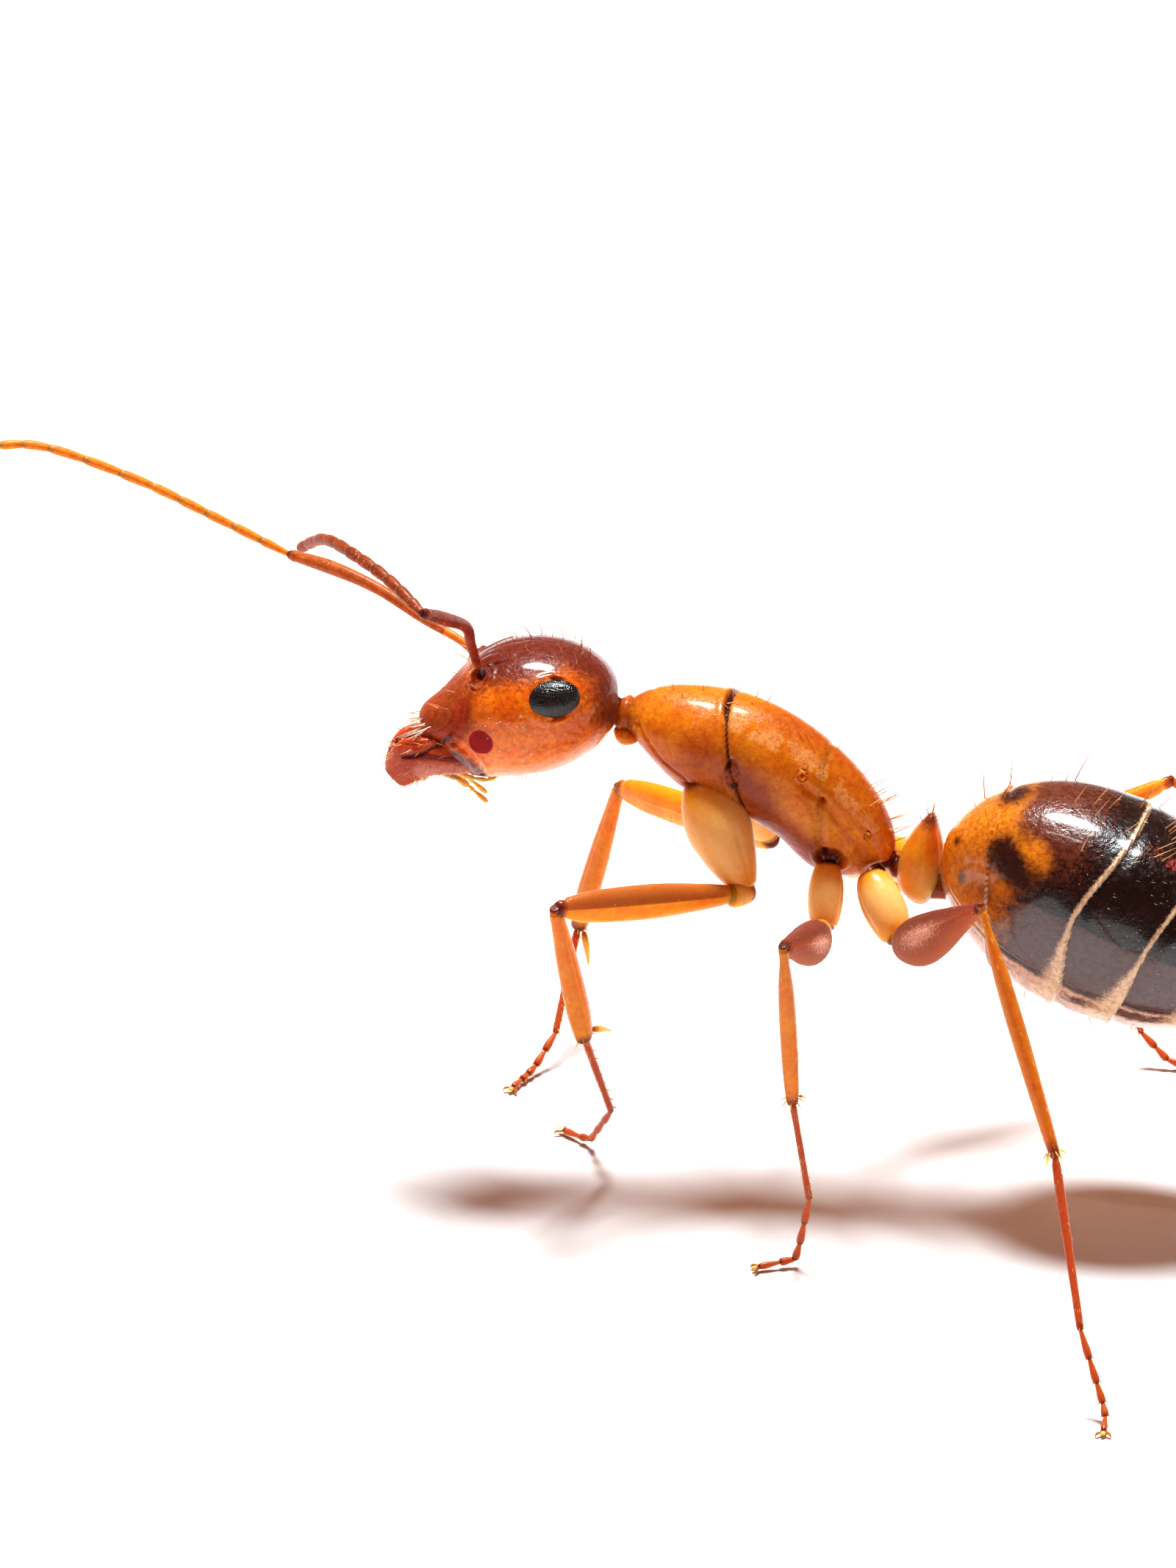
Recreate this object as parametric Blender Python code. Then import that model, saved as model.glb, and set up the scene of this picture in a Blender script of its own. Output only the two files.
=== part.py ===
"""A carpenter ant worker, life size, standing on its six feet: the solids of a still model.

Design values are in millimetres and are turned into metres when a mesh is made. The ant
faces -X, its left side is -Y, and the floor is z = 0. Every piece has its origin at the
joint it grows from. Pieces that meet keep a thin gap.
"""
import math

import bmesh
import bpy
from mathutils import Matrix, Vector

MM = 0.001
GAP = 0.05
WELD = 1e-4
TINY = 0.01
SMOOTH_BELOW = math.radians(35.0)
UP = Vector((0.0, 0.0, 1.0))
SIDES = (("left", 1), ("right", -1))

# Head: length along its own axis, half-width, half-height, and how it is held.
HEAD_JOINT = Vector((8.22, 0.0, 6.03))
HEAD_YAW = math.radians(17.0)
HEAD_PITCH = math.radians(9.0)
HEAD_ROLL = math.radians(10.0)
HEAD_LENGTH = 2.56
HEAD_MIDDLE = Vector((1.30, 0.0, 0.25))
HEAD_WIDTHS = (0.92, 1.02, 1.05, 1.03, 0.98, 0.90, 0.84, 0.80)
HEAD_TOPS = (0.80, 0.86, 0.88, 0.88, 0.85, 0.76, 0.55, 0.34)
HEAD_BOTTOMS = (0.76, 0.80, 0.83, 0.84, 0.85, 0.87, 0.90, 0.90)

# Eyes: half-lengths along, across the lid and out of the head.
EYE_SIZE = Vector((0.32, 0.26, 0.17))
EYE_PLACE = Vector((0.87, 0.88, 0.55))
EYE_TILT = math.radians(66.0)

SOCKET_PLACE = Vector((1.74, 0.36, 0.84))

# Mandibles: from the hinge, round the outer curve to the tip, with half-thicknesses.
MANDIBLE_LINE = ((1.95, 0.50, -0.02), (2.30, 0.47, -0.05), (2.78, 0.26, -0.12), (3.03, 0.14, -0.34))
MANDIBLE_SIZES = (0.24, 0.28, 0.27, 0.10)

# The closed mouthparts under the head.
MOUTH_LINE = ((1.50, 0.0, -0.70), (1.92, 0.0, -0.76), (2.34, 0.0, -0.60))
MOUTH_SIZES = (0.26, 0.28, 0.24)

# Faces round and along each rounded body, and how blunt its ends are and how square its section.
HEAD_FACES, HEAD_BLUNTNESS, HEAD_SQUARENESS = (28, 18), 0.86, 2.2
TRUNK_FACES, TRUNK_BLUNTNESS = (24, 22), 0.8
GASTER_FACES, GASTER_BLUNTNESS = (28, 22), 0.95
EYE_FACES, MOUTH_FACES, SCALE_FACES = (18, 10), (12, 8), (18, 12)

# Trunk: its centre line in the plane of symmetry, half-sizes at even steps along it, and
# where its plates part: a share of its length and how far the cut leans back in degrees.
TRUNK_LINE = ((8.28, 6.06), (8.75, 5.90), (9.35, 5.70), (10.00, 5.50), (10.65, 5.16),
              (11.25, 4.72), (11.84, 4.12))
TRUNK_WIDTHS = (0.42, 0.66, 0.76, 0.66, 0.60, 0.54, 0.44)
TRUNK_HEIGHTS = (0.42, 0.62, 0.74, 0.76, 0.72, 0.64, 0.50)
TRUNK_CUTS = ((0.42, 31.0), (0.70, 31.0))

# Abdomen: the same.
GASTER_LINE = ((12.42, 4.62), (13.60, 4.30), (14.80, 3.90), (16.00, 3.50), (17.15, 3.12))
GASTER_WIDTHS = (1.16, 1.28, 1.30, 1.20, 0.92)
GASTER_HEIGHTS = (1.40, 1.48, 1.36, 1.18, 0.88)
GASTER_CUTS = ((0.444, -5.0), (0.61, -10.0), (0.79, -9.0), (0.91, -5.0))

# Waist: the upright scale, with its half-thickness at foot and top, and the stalk through it.
SCALE_BASE = Vector((12.13, 0.0, 3.72))
SCALE_TOP = Vector((12.26, 0.0, 4.97))
SCALE_HALF_WIDTH = 0.44
SCALE_THICKNESSES = (0.30, 0.11)
STALK_FRONT = Vector((11.62, 0.0, 4.28))
STALK_BACK = Vector((12.80, 0.0, 3.92))
STALK_RADIUS = 0.17

# Feelers: each from its socket through the elbow and along the whip.
FEELER_RADIUS = 0.25
# How much a free tip narrows and runs on, as a share of its half-thickness.
TIP_SHARE = 0.6
FEELERS = {
    "left": {"elbow": (6.16, -2.40, 8.31), "middle": (5.00, -1.35, 8.49),
             "bends": ((6.45, -1.15, 7.35),),
             "whip": ((4.45, -0.60, 8.28), (4.02, 0.02, 7.86))},
    "right": {"elbow": (3.51, 1.02, 7.18), "middle": (1.55, 0.87, 8.08),
              "bends": (),
              "whip": ((0.35, 0.65, 8.52), (-0.45, 0.45, 8.52))},
}

# Legs: where each joint stands, from the hip down to the claws.
LEGS = {
    "front_left": {"hip": (9.34, -0.50, 5.31), "trochanter": (10.03, -0.80, 4.00),
                   "knee": (8.05, -3.00, 4.61), "ankle": (8.23, -2.20, 2.39),
                   "instep": (8.36, -1.30, 0.89), "toes": ((7.95, -0.70, 0.22), (7.50, -0.45, 0.20))},
    "front_right": {"hip": (9.34, 0.50, 5.31), "trochanter": (9.95, 0.80, 3.98),
                    "knee": (7.52, 2.50, 3.57), "ankle": (6.95, 2.60, 1.43),
                    "instep": (6.92, 1.50, 0.42), "toes": ((6.74, 1.02, 0.22), (6.59, 0.51, 0.20))},
    "mid_left": {"hip": (10.99, -0.42, 4.30), "trochanter": (11.05, -0.86, 3.64),
                 "knee": (11.18, -3.60, 4.76), "ankle": (11.21, -3.20, 2.35),
                 "instep": (11.46, -3.30, 1.03), "toes": ((11.28, -3.24, 0.24), (10.82, -3.50, 0.20))},
    "mid_right": {"hip": (10.99, 0.42, 4.30), "trochanter": (11.05, 0.86, 3.64),
                  "knee": (13.10, 2.90, 3.30), "ankle": (13.99, 3.00, 1.70),
                  "instep": (14.30, 3.30, 0.45), "toes": ((14.72, 3.20, 0.20), (15.20, 3.30, 0.20))},
    "hind_left": {"hip": (11.56, -0.40, 4.20), "trochanter": (12.05, -0.92, 3.64),
                  "knee": (13.77, -3.70, 5.70), "ankle": (14.96, -4.60, 2.78),
                  "instep": (15.61, -5.90, 1.03), "toes": ((16.05, -6.30, 0.30), (16.12, -6.72, 0.20))},
    "hind_right": {"hip": (11.56, 0.40, 4.20), "trochanter": (12.05, 0.92, 3.64),
                   "knee": (14.60, 3.60, 4.00), "ankle": (16.60, 5.00, 1.90),
                   "instep": (17.60, 5.70, 0.50), "toes": ((18.25, 5.98, 0.20), (18.75, 6.10, 0.20))},
}
# Where a coxa and a thigh are thickest, as a share of their length from the body.
BELLY_SHARE = 0.35
# Half-thicknesses down each pair of legs.
LEG_SIZES = {
    "front": {"hip": 0.40, "coxa": 0.44, "trochanter": 0.23, "femur": 0.27, "shin": 0.25, "foot": 0.24},
    "mid": {"hip": 0.22, "coxa": 0.25, "trochanter": 0.23, "femur": 0.25, "shin": 0.25, "foot": 0.24},
    "hind": {"hip": 0.24, "coxa": 0.27, "trochanter": 0.24, "femur": 0.27, "shin": 0.25, "foot": 0.24},
}


def clear_scene():
    for item in list(bpy.data.objects):
        bpy.data.objects.remove(item)


def new_collection(name):
    made = bpy.data.collections.new(name)
    bpy.context.scene.collection.children.link(made)
    return made


def new_material(name, colour, roughness):
    made = bpy.data.materials.new(name)
    made.use_nodes = True
    shader = made.node_tree.nodes["Principled BSDF"]
    shader.inputs["Base Color"].default_value = (*colour, 1.0)
    shader.inputs["Roughness"].default_value = roughness
    shader.inputs["Metallic"].default_value = 0.0
    return made


def place(name, bm, material, parent, origin=Vector()):
    """Turn a mesh in millimetres into a named piece with its origin at a joint."""
    bmesh.ops.recalc_face_normals(bm, faces=bm.faces)
    if bm.calc_volume(signed=True) < 0:
        bmesh.ops.reverse_faces(bm, faces=bm.faces)
    bmesh.ops.translate(bm, verts=bm.verts, vec=-Vector(origin))
    bmesh.ops.scale(bm, verts=bm.verts, vec=(MM, MM, MM))
    mesh = bpy.data.meshes.new(name)
    bm.to_mesh(mesh)
    bm.free()
    mesh.materials.append(material)
    mesh.shade_smooth()
    mesh.set_sharp_from_angle(angle=SMOOTH_BELOW)
    piece = bpy.data.objects.new(name, mesh)
    piece.location = Vector(origin) * MM
    piece.parent = parent
    ANT.objects.link(piece)
    return piece


def along(values, share):
    """Read a smooth curve through evenly spaced values, at a share of its length."""
    last = len(values) - 1
    spot = min(max(share, 0.0), 1.0) * last
    first = min(int(spot), last - 1)
    step = spot - first
    before = values[first - 1] if first else values[0] * 2 - values[1]
    after = values[first + 2] if first + 2 <= last else values[last] * 2 - values[last - 1]
    low, high = values[first], values[first + 1]
    return (low + (high - before) * 0.5 * step
            + (before - low * 2.5 + high * 2 - after * 0.5) * step ** 2
            + ((low - high) * 1.5 + (after - before) * 0.5) * step ** 3)


def swell(line, widths, tops, bottoms, sides, rings, blunt=1.0, square=2.0):
    """Bend a globe along a centre line and give it its own half-sizes at every step."""
    bm = bmesh.new()
    bmesh.ops.create_uvsphere(bm, u_segments=sides, v_segments=rings, radius=1.0)
    for vertex in bm.verts:
        share = (1.0 + vertex.co.z) / 2.0
        girth = math.hypot(vertex.co.x, vertex.co.y)
        if girth > TINY:
            side, height = vertex.co.x / girth, vertex.co.y / girth
            corner = (abs(side) ** square + abs(height) ** square) ** (-1.0 / square)
            side, height = side * corner * girth ** blunt, height * corner * girth ** blunt
        else:
            side = height = 0.0
        heading = (along(line, share + TINY) - along(line, share - TINY)).normalized()
        across = UP.cross(heading).normalized()
        upward = heading.cross(across)
        reach = along(tops, share) if height > 0 else along(bottoms, share)
        vertex.co = along(line, share) + across * side * along(widths, share) + upward * height * reach
    return bm


def cut(bm, point, outward):
    """Take away what lies beyond a plane and close the cut with a flat face."""
    parts = bm.verts[:] + bm.edges[:] + bm.faces[:]
    bmesh.ops.bisect_plane(bm, geom=parts, dist=1e-5, plane_co=point, plane_no=outward, clear_outer=True)
    rim = [edge for edge in bm.edges if edge.is_boundary]
    if rim:
        bmesh.ops.edgeloop_fill(bm, edges=rim)


def tube(points, radii):
    """Sweep a round section of changing size along straight stretches, with closed ends."""
    curve = bpy.data.curves.new("sweep", "CURVE")
    curve.dimensions = "3D"
    curve.bevel_depth = 1.0
    curve.bevel_resolution = 2
    curve.use_fill_caps = True
    spline = curve.splines.new("POLY")
    spline.points.add(len(points) - 1)
    for spot, point, radius in zip(spline.points, points, radii):
        spot.co = (*point, 1.0)
        spot.radius = radius
    sweep = bpy.data.objects.new("sweep", curve)
    ANT.objects.link(sweep)
    seen = sweep.evaluated_get(bpy.context.evaluated_depsgraph_get())
    mesh = bpy.data.meshes.new_from_object(seen)
    bm = bmesh.new()
    bm.from_mesh(mesh)
    bmesh.ops.remove_doubles(bm, verts=bm.verts, dist=WELD)
    bpy.data.objects.remove(sweep)
    bpy.data.meshes.remove(mesh)
    return bm


def mitre(before, joint, after):
    """Return the direction that halves the bend at a joint."""
    return ((joint - before).normalized() + (after - joint).normalized()).normalized()


def limb(points, radii, before=None, after=None, floor=False):
    """Make one length of a limb, cut square to the bend where it meets its neighbours."""
    points = [Vector(point) for point in points]
    radii = list(radii)
    planes = []
    if before is not None:
        fold = mitre(Vector(before), points[0], points[1])
        planes.append((points[0] + fold * GAP / 2, -fold))
        points[0] = stretch(points[1], points[0], fold, radii[0])
    if after is not None:
        fold = mitre(points[-2], points[-1], Vector(after))
        planes.append((points[-1] - fold * GAP / 2, fold))
        points[-1] = stretch(points[-2], points[-1], fold, radii[-1])
    else:
        heading = (points[-1] - points[-2]).normalized()
        points.append(points[-1] + heading * radii[-1] * TIP_SHARE)
        radii.append(radii[-1] * TIP_SHARE)
    bm = tube(points, radii)
    for point, outward in planes:
        cut(bm, point, outward)
    if floor:
        cut(bm, Vector(), -UP)
    return bm


def stretch(start, end, fold, radius):
    """Carry an end past its joint, far enough for the slanted cut to cross the whole limb."""
    heading = (end - start).normalized()
    lean = heading.angle(fold) if heading.dot(fold) > 0 else heading.angle(-fold)
    return end + heading * (radius * math.tan(lean) + 2 * GAP)


def fatten(piece, gap):
    """Copy a piece a little larger all round, to cut room for it in its neighbours."""
    room = bpy.data.objects.new("room_" + piece.name, piece.data.copy())
    for vertex in room.data.vertices:
        vertex.co += vertex.normal * gap * MM
    room.parent = piece.parent
    room.location = piece.location
    room.rotation_euler = piece.rotation_euler
    return hide(room)


def hide(tool):
    tool.hide_render = True
    tool.display_type = "WIRE"
    TOOLS.objects.link(tool)
    return tool


def combine(piece, tool, operation):
    change = piece.modifiers.new(operation.lower(), "BOOLEAN")
    change.solver = "EXACT"
    change.operation = operation
    change.object = tool


def clear_of(pieces, neighbour, gap=GAP):
    room = fatten(neighbour, gap)
    for piece in pieces:
        combine(piece, room, "DIFFERENCE")


def head_frame():
    """Return the turn of the head: x forward, y to the ant's left, z up."""
    forward = Matrix.Rotation(math.pi, 3, "Z")
    yaw = Matrix.Rotation(HEAD_YAW, 3, "Z")
    pitch = Matrix.Rotation(HEAD_PITCH, 3, "Y")
    roll = Matrix.Rotation(HEAD_ROLL, 3, "X")
    return forward @ yaw @ pitch @ roll


def make_head(root):
    neck = bpy.data.objects.new("neck", None)
    ANT.objects.link(neck)
    neck.parent = root
    neck.location = HEAD_JOINT * MM
    neck.rotation_euler = head_frame().to_euler()
    half = Vector((HEAD_LENGTH / 2, 0.0, 0.0))
    line = (HEAD_MIDDLE - half, HEAD_MIDDLE, HEAD_MIDDLE + half)
    skull = swell(line, HEAD_WIDTHS, HEAD_TOPS, HEAD_BOTTOMS, *HEAD_FACES,
                  HEAD_BLUNTNESS, HEAD_SQUARENESS)
    head = place("head", skull, SHELL, neck)
    jaws = []
    for name, side in SIDES:
        make_eye(neck, head, name, side)
        jaws.append(make_mandible(neck, name, side))
    clear_of(jaws + [make_mouthparts(neck)], head)
    return neck, head


def make_eye(neck, head, name, side):
    spot = Vector((EYE_PLACE.x, EYE_PLACE.y * side, EYE_PLACE.z))
    turn = Matrix.Rotation(-EYE_TILT * side, 3, "X")
    for grow, label in ((0.0, "eye_" + name), (GAP, "socket_" + name)):
        bm = bmesh.new()
        bmesh.ops.create_uvsphere(bm, u_segments=EYE_FACES[0], v_segments=EYE_FACES[1], radius=1.0)
        bmesh.ops.scale(bm, verts=bm.verts, vec=EYE_SIZE + Vector((grow, grow, grow)))
        bmesh.ops.rotate(bm, verts=bm.verts, matrix=turn, cent=Vector())
        bmesh.ops.translate(bm, verts=bm.verts, vec=spot)
        piece = place(label, bm, EYE, neck, spot)
        if grow:
            ANT.objects.unlink(piece)
            combine(head, hide(piece), "DIFFERENCE")


def make_mandible(neck, name, side):
    line = [Vector((x, y * side, z)) for x, y, z in MANDIBLE_LINE]
    bm = tube(line, MANDIBLE_SIZES)
    cut(bm, Vector((0.0, side * GAP / 2, 0.0)), Vector((0.0, -side, 0.0)))
    return place("mandible_" + name, bm, SHELL, neck, line[0])


def make_mouthparts(neck):
    line = [Vector(spot) for spot in MOUTH_LINE]
    bm = swell(line, MOUTH_SIZES, MOUTH_SIZES, MOUTH_SIZES, *MOUTH_FACES)
    return place("mouthparts", bm, LEG, neck, line[0])


def plate_edge(line, share, lean):
    """Return a point on the centre line and the leaned direction across which plates part."""
    heading = (along(line, share + TINY) - along(line, share - TINY)).normalized()
    return along(line, share), Matrix.Rotation(-math.radians(lean), 3, "Y") @ heading


def make_rings(names, line, sizes, cuts, material, root, detail, blunt):
    """Model a body whole and part it with thin cuts across its centre line."""
    line = [Vector((x, 0.0, z)) for x, z in line]
    widths, heights = sizes
    rings = []
    for index, name in enumerate(names):
        bm = swell(line, widths, heights, heights, *detail, blunt=blunt)
        start = line[0]
        if index > 0:
            start, heading = plate_edge(line, *cuts[index - 1])
            cut(bm, start + heading * GAP / 2, -heading)
        if index < len(cuts):
            end, heading = plate_edge(line, *cuts[index])
            cut(bm, end - heading * GAP / 2, heading)
        rings.append(place(name, bm, material, root, start))
    return rings


def make_waist(root):
    middle = (SCALE_BASE + SCALE_TOP) / 2
    bm = bmesh.new()
    bmesh.ops.create_uvsphere(bm, u_segments=SCALE_FACES[0], v_segments=SCALE_FACES[1], radius=1.0)
    height = (SCALE_TOP - SCALE_BASE).length / 2
    for vertex in bm.verts:
        thick = along(SCALE_THICKNESSES, (1.0 + vertex.co.z) / 2.0)
        vertex.co = Vector((vertex.co.x * thick, vertex.co.y * SCALE_HALF_WIDTH, vertex.co.z * height))
    lean = UP.rotation_difference(SCALE_TOP - SCALE_BASE).to_matrix()
    bmesh.ops.rotate(bm, verts=bm.verts, matrix=lean, cent=Vector())
    bmesh.ops.translate(bm, verts=bm.verts, vec=middle)
    petiole = place("petiole", bm, SHELL, root, SCALE_BASE)
    inside = (STALK_FRONT + STALK_BACK) / 2
    stalk = place("stalk", tube((STALK_FRONT, inside, STALK_BACK), (STALK_RADIUS,) * 3), SHELL, root)
    ANT.objects.unlink(stalk)
    combine(petiole, hide(stalk), "UNION")
    return petiole


def make_feeler(root, neck, head, name, side):
    plan = FEELERS[name]
    turn = neck.rotation_euler.to_matrix()
    local = Vector((SOCKET_PLACE.x, SOCKET_PLACE.y * side, SOCKET_PLACE.z))
    socket = HEAD_JOINT + turn @ local
    elbow = Vector(plan["elbow"])
    stem = [socket, *map(Vector, plan["bends"]), elbow]
    middle = Vector(plan["middle"])
    whip = [Vector(spot) for spot in plan["whip"]]
    size = FEELER_RADIUS
    scape = place(f"antenna_{name}_scape", limb(stem, [size] * len(stem), after=middle), FEELER, root, socket)
    place(f"antenna_{name}_inner", limb((elbow, middle), (size, size), stem[-2], whip[0]), FEELER, root, elbow)
    tip = limb((middle, *whip), [size] * (1 + len(whip)), elbow)
    place(f"antenna_{name}_outer", tip, FEELER, root, middle)
    clear_of([scape], head)


def make_leg(root, name, bodies):
    plan = LEGS[name]
    size = LEG_SIZES[name.split("_")[0]]
    hip, trochanter, knee, ankle, instep = (
        Vector(plan[joint]) for joint in ("hip", "trochanter", "knee", "ankle", "instep"))
    toes = [Vector(spot) for spot in plan["toes"]]
    thigh = trochanter.lerp(knee, BELLY_SHARE)
    belly = hip.lerp(trochanter, BELLY_SHARE)
    coxa = limb((hip, belly, trochanter), (size["hip"], size["coxa"], size["trochanter"]), after=thigh)
    femur = limb((trochanter, thigh, knee), (size["trochanter"], size["femur"], size["shin"]), belly, ankle)
    tibia = limb((knee, ankle), (size["shin"], size["shin"]), thigh, instep)
    sole = limb((ankle, instep), (size["shin"], size["foot"]), knee, toes[0], floor=True)
    foot = limb((instep, *toes), [size["foot"]] * (1 + len(toes)), ankle, floor=True)
    label = "leg_" + name
    upper = place(label + "_coxa", coxa, LEG, root, hip)
    place(label + "_femur", femur, LEG, root, trochanter)
    place(label + "_tibia", tibia, LEG, root, knee)
    place(label + "_basitarsus", sole, LEG, root, ankle)
    place(label + "_foot", foot, LEG, root, instep)
    for body in bodies:
        clear_of([upper], body)


def stand_on_origin(root):
    """Move the ant so that the middle of its footprint box is at the origin."""
    seen = bpy.context.evaluated_depsgraph_get()
    corners = []
    for piece in ANT.objects:
        if piece.type == "MESH":
            shape = piece.evaluated_get(seen)
            corners += [shape.matrix_world @ vertex.co for vertex in shape.data.vertices]
    lows = [min(corner[axis] for corner in corners) for axis in (0, 1)]
    highs = [max(corner[axis] for corner in corners) for axis in (0, 1)]
    root.location = [-(low + high) / 2 for low, high in zip(lows, highs)] + [0.0]


def main():
    root = bpy.data.objects.new("ant", None)
    ANT.objects.link(root)
    neck, head = make_head(root)
    trunk = make_rings(("prothorax", "mesothorax", "propodeum"), TRUNK_LINE, (TRUNK_WIDTHS, TRUNK_HEIGHTS),
                       TRUNK_CUTS, SHELL, root, TRUNK_FACES, TRUNK_BLUNTNESS)
    gaster = make_rings([f"gaster_{number}" for number in range(1, 6)], GASTER_LINE,
                        (GASTER_WIDTHS, GASTER_HEIGHTS), GASTER_CUTS, GASTER, root,
                        GASTER_FACES, GASTER_BLUNTNESS)
    petiole = make_waist(root)
    clear_of([petiole], trunk[2])
    clear_of([petiole], gaster[0])
    for name, side in SIDES:
        make_feeler(root, neck, head, name, side)
    for name in LEGS:
        make_leg(root, name, trunk)
    stand_on_origin(root)


clear_scene()
ANT = new_collection("carpenter_ant")
TOOLS = new_collection("tools")
SHELL = new_material("shell", (0.62, 0.20, 0.04), 0.3)
LEG = new_material("leg", (0.72, 0.30, 0.05), 0.35)
FEELER = new_material("feeler", (0.42, 0.13, 0.05), 0.4)
GASTER = new_material("gaster", (0.16, 0.06, 0.03), 0.25)
EYE = new_material("eye", (0.01, 0.01, 0.01), 0.2)
main()
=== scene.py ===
"""The looks of a carpenter ant worker, life size, standing on a pale floor.

Shapes are modelled in millimetres on the ant's own plan, where it faces -X, its left side
is -Y and the floor is z = 0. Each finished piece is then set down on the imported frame.
"""

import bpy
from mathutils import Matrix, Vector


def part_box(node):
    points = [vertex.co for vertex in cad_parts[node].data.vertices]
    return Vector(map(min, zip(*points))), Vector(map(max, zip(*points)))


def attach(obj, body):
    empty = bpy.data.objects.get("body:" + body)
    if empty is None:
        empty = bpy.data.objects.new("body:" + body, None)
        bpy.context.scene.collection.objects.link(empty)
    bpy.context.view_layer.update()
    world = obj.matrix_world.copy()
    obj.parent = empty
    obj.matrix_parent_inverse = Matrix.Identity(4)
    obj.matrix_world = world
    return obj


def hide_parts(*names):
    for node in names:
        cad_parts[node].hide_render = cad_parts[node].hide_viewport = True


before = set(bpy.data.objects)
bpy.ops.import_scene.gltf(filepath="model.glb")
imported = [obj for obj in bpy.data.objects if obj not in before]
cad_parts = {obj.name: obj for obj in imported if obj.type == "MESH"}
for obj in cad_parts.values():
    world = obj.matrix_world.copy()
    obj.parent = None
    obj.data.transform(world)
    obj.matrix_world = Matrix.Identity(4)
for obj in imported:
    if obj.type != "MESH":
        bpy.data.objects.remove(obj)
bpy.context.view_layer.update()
import math

import bpy
import numpy as np
from mathutils import Matrix, Vector

MM = 0.001
UP = (0.0, 0.0, 1.0)
SIDES = {"left": 1, "right": -1}

# Camera and floor. The frame and the camera are in millimetres, the floor in metres.
FRAME_CENTRE = (8.142, -1.656, 5.756)
FRAME_HEIGHT = 20.0
SENSOR = 36.0
CAMERA_FAR = 320.0
CAMERA_TURN, CAMERA_RISE = 14.0, 27.0
FLOOR_WIDTH = 2.4

# Lamps: their directions from the ant, their distance and sizes in metres, watts and colours.
LAMP_WAY = (-0.05, 0.31, 0.95)
LAMP_FAR = 0.5
LAMP_LONG, LAMP_WIDE = 0.23, 0.115
LAMP_WATTS = 4.4
LAMP_COLOUR = (0.90, 0.97, 1.0)
STRIP_WAY = (-0.12, -0.19, 0.97)
STRIP_LONG, STRIP_WIDE = 0.18, 0.014
STRIP_WATTS = 0.12
STRIP_COLOUR = (1.0, 0.90, 0.82)
AIR_COLOUR = (1.0, 0.44, 0.31)
AIR_STRENGTH = 0.21

# How the head is held: its joint, and its turn with x forward, y left and z up.
HEAD_JOINT = Vector((8.22, 0.0, 6.03))
HEAD_TURN = (Matrix.Rotation(math.pi + math.radians(17.0), 3, "Z")
             @ Matrix.Rotation(math.radians(9.0), 3, "Y")
             @ Matrix.Rotation(math.radians(10.0), 3, "X"))
HEAD_BACK, HEAD_FRONT, HEAD_LEVEL = 0.02, 2.58, 0.25
EYE_PLACE = Vector((0.87, 0.88, 0.55))
EYE_SIZE = (0.355, 0.250, 0.17)
EYE_TILT = math.radians(66.0)
SOCKET = Vector((1.74, 0.35, 0.84))

TRUNK_LINE = ((8.24, 0, 6.04), (8.75, 0, 5.90), (9.35, 0, 5.70), (10.00, 0, 5.50), (10.65, 0, 5.16),
              (11.22, 0, 4.74), (11.70, 0, 4.32))
TRUNK_WIDTHS = (0.56, 0.68, 0.76, 0.66, 0.60, 0.55, 0.50)
TRUNK_TOPS = (0.52, 0.66, 0.76, 0.76, 0.72, 0.66, 0.56)
TRUNK_BOTTOMS = (0.46, 0.60, 0.74, 0.76, 0.79, 1.04, 1.15)
TRUNK_CUTS = ((0.447, 29.0), (0.725, 31.0))

NECK_LINE = ((7.98, 0, 6.00), (8.22, 0, 5.96), (8.50, 0, 5.90))
NECK_LOBE_LINE = ((8.12, -0.16, 5.82), (8.27, -0.18, 5.74), (8.44, -0.20, 5.70))
SCALE_LINE = ((12.12, 0, 3.74), (12.15, 0, 4.10), (12.20, 0, 4.55), (12.27, 0, 5.02))
STALK_LINE = ((11.60, 0, 4.36), (11.90, 0, 4.18), (12.30, 0, 4.00), (12.78, 0, 3.93))

GASTER_LINE = ((12.42, 0, 4.62), (13.60, 0, 4.30), (14.80, 0, 3.90), (16.00, 0, 3.50), (17.15, 0, 3.12))
GASTER_WIDTHS = (1.16, 1.28, 1.30, 1.20, 0.92)
GASTER_HEIGHTS = (1.40, 1.48, 1.36, 1.18, 0.88)
GASTER_CUTS = ((0.444, -5.0), (0.61, -10.0), (0.79, -9.0), (0.91, -5.0))

FEELERS = {
    "left": {"stem": ((6.41, -1.15, 7.54),), "elbow": (6.16, -2.40, 8.31),
             "whip": ((5.60, -1.88, 8.45), (5.00, -1.35, 8.49), (4.40, -0.56, 8.26), (3.86, 0.20, 7.70))},
    "right": {"stem": (), "elbow": (3.51, 1.02, 7.18),
              "whip": ((2.53, 0.95, 7.64), (1.55, 0.87, 8.08), (0.35, 0.65, 8.52), (-0.45, 0.45, 8.52))},
}

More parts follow.
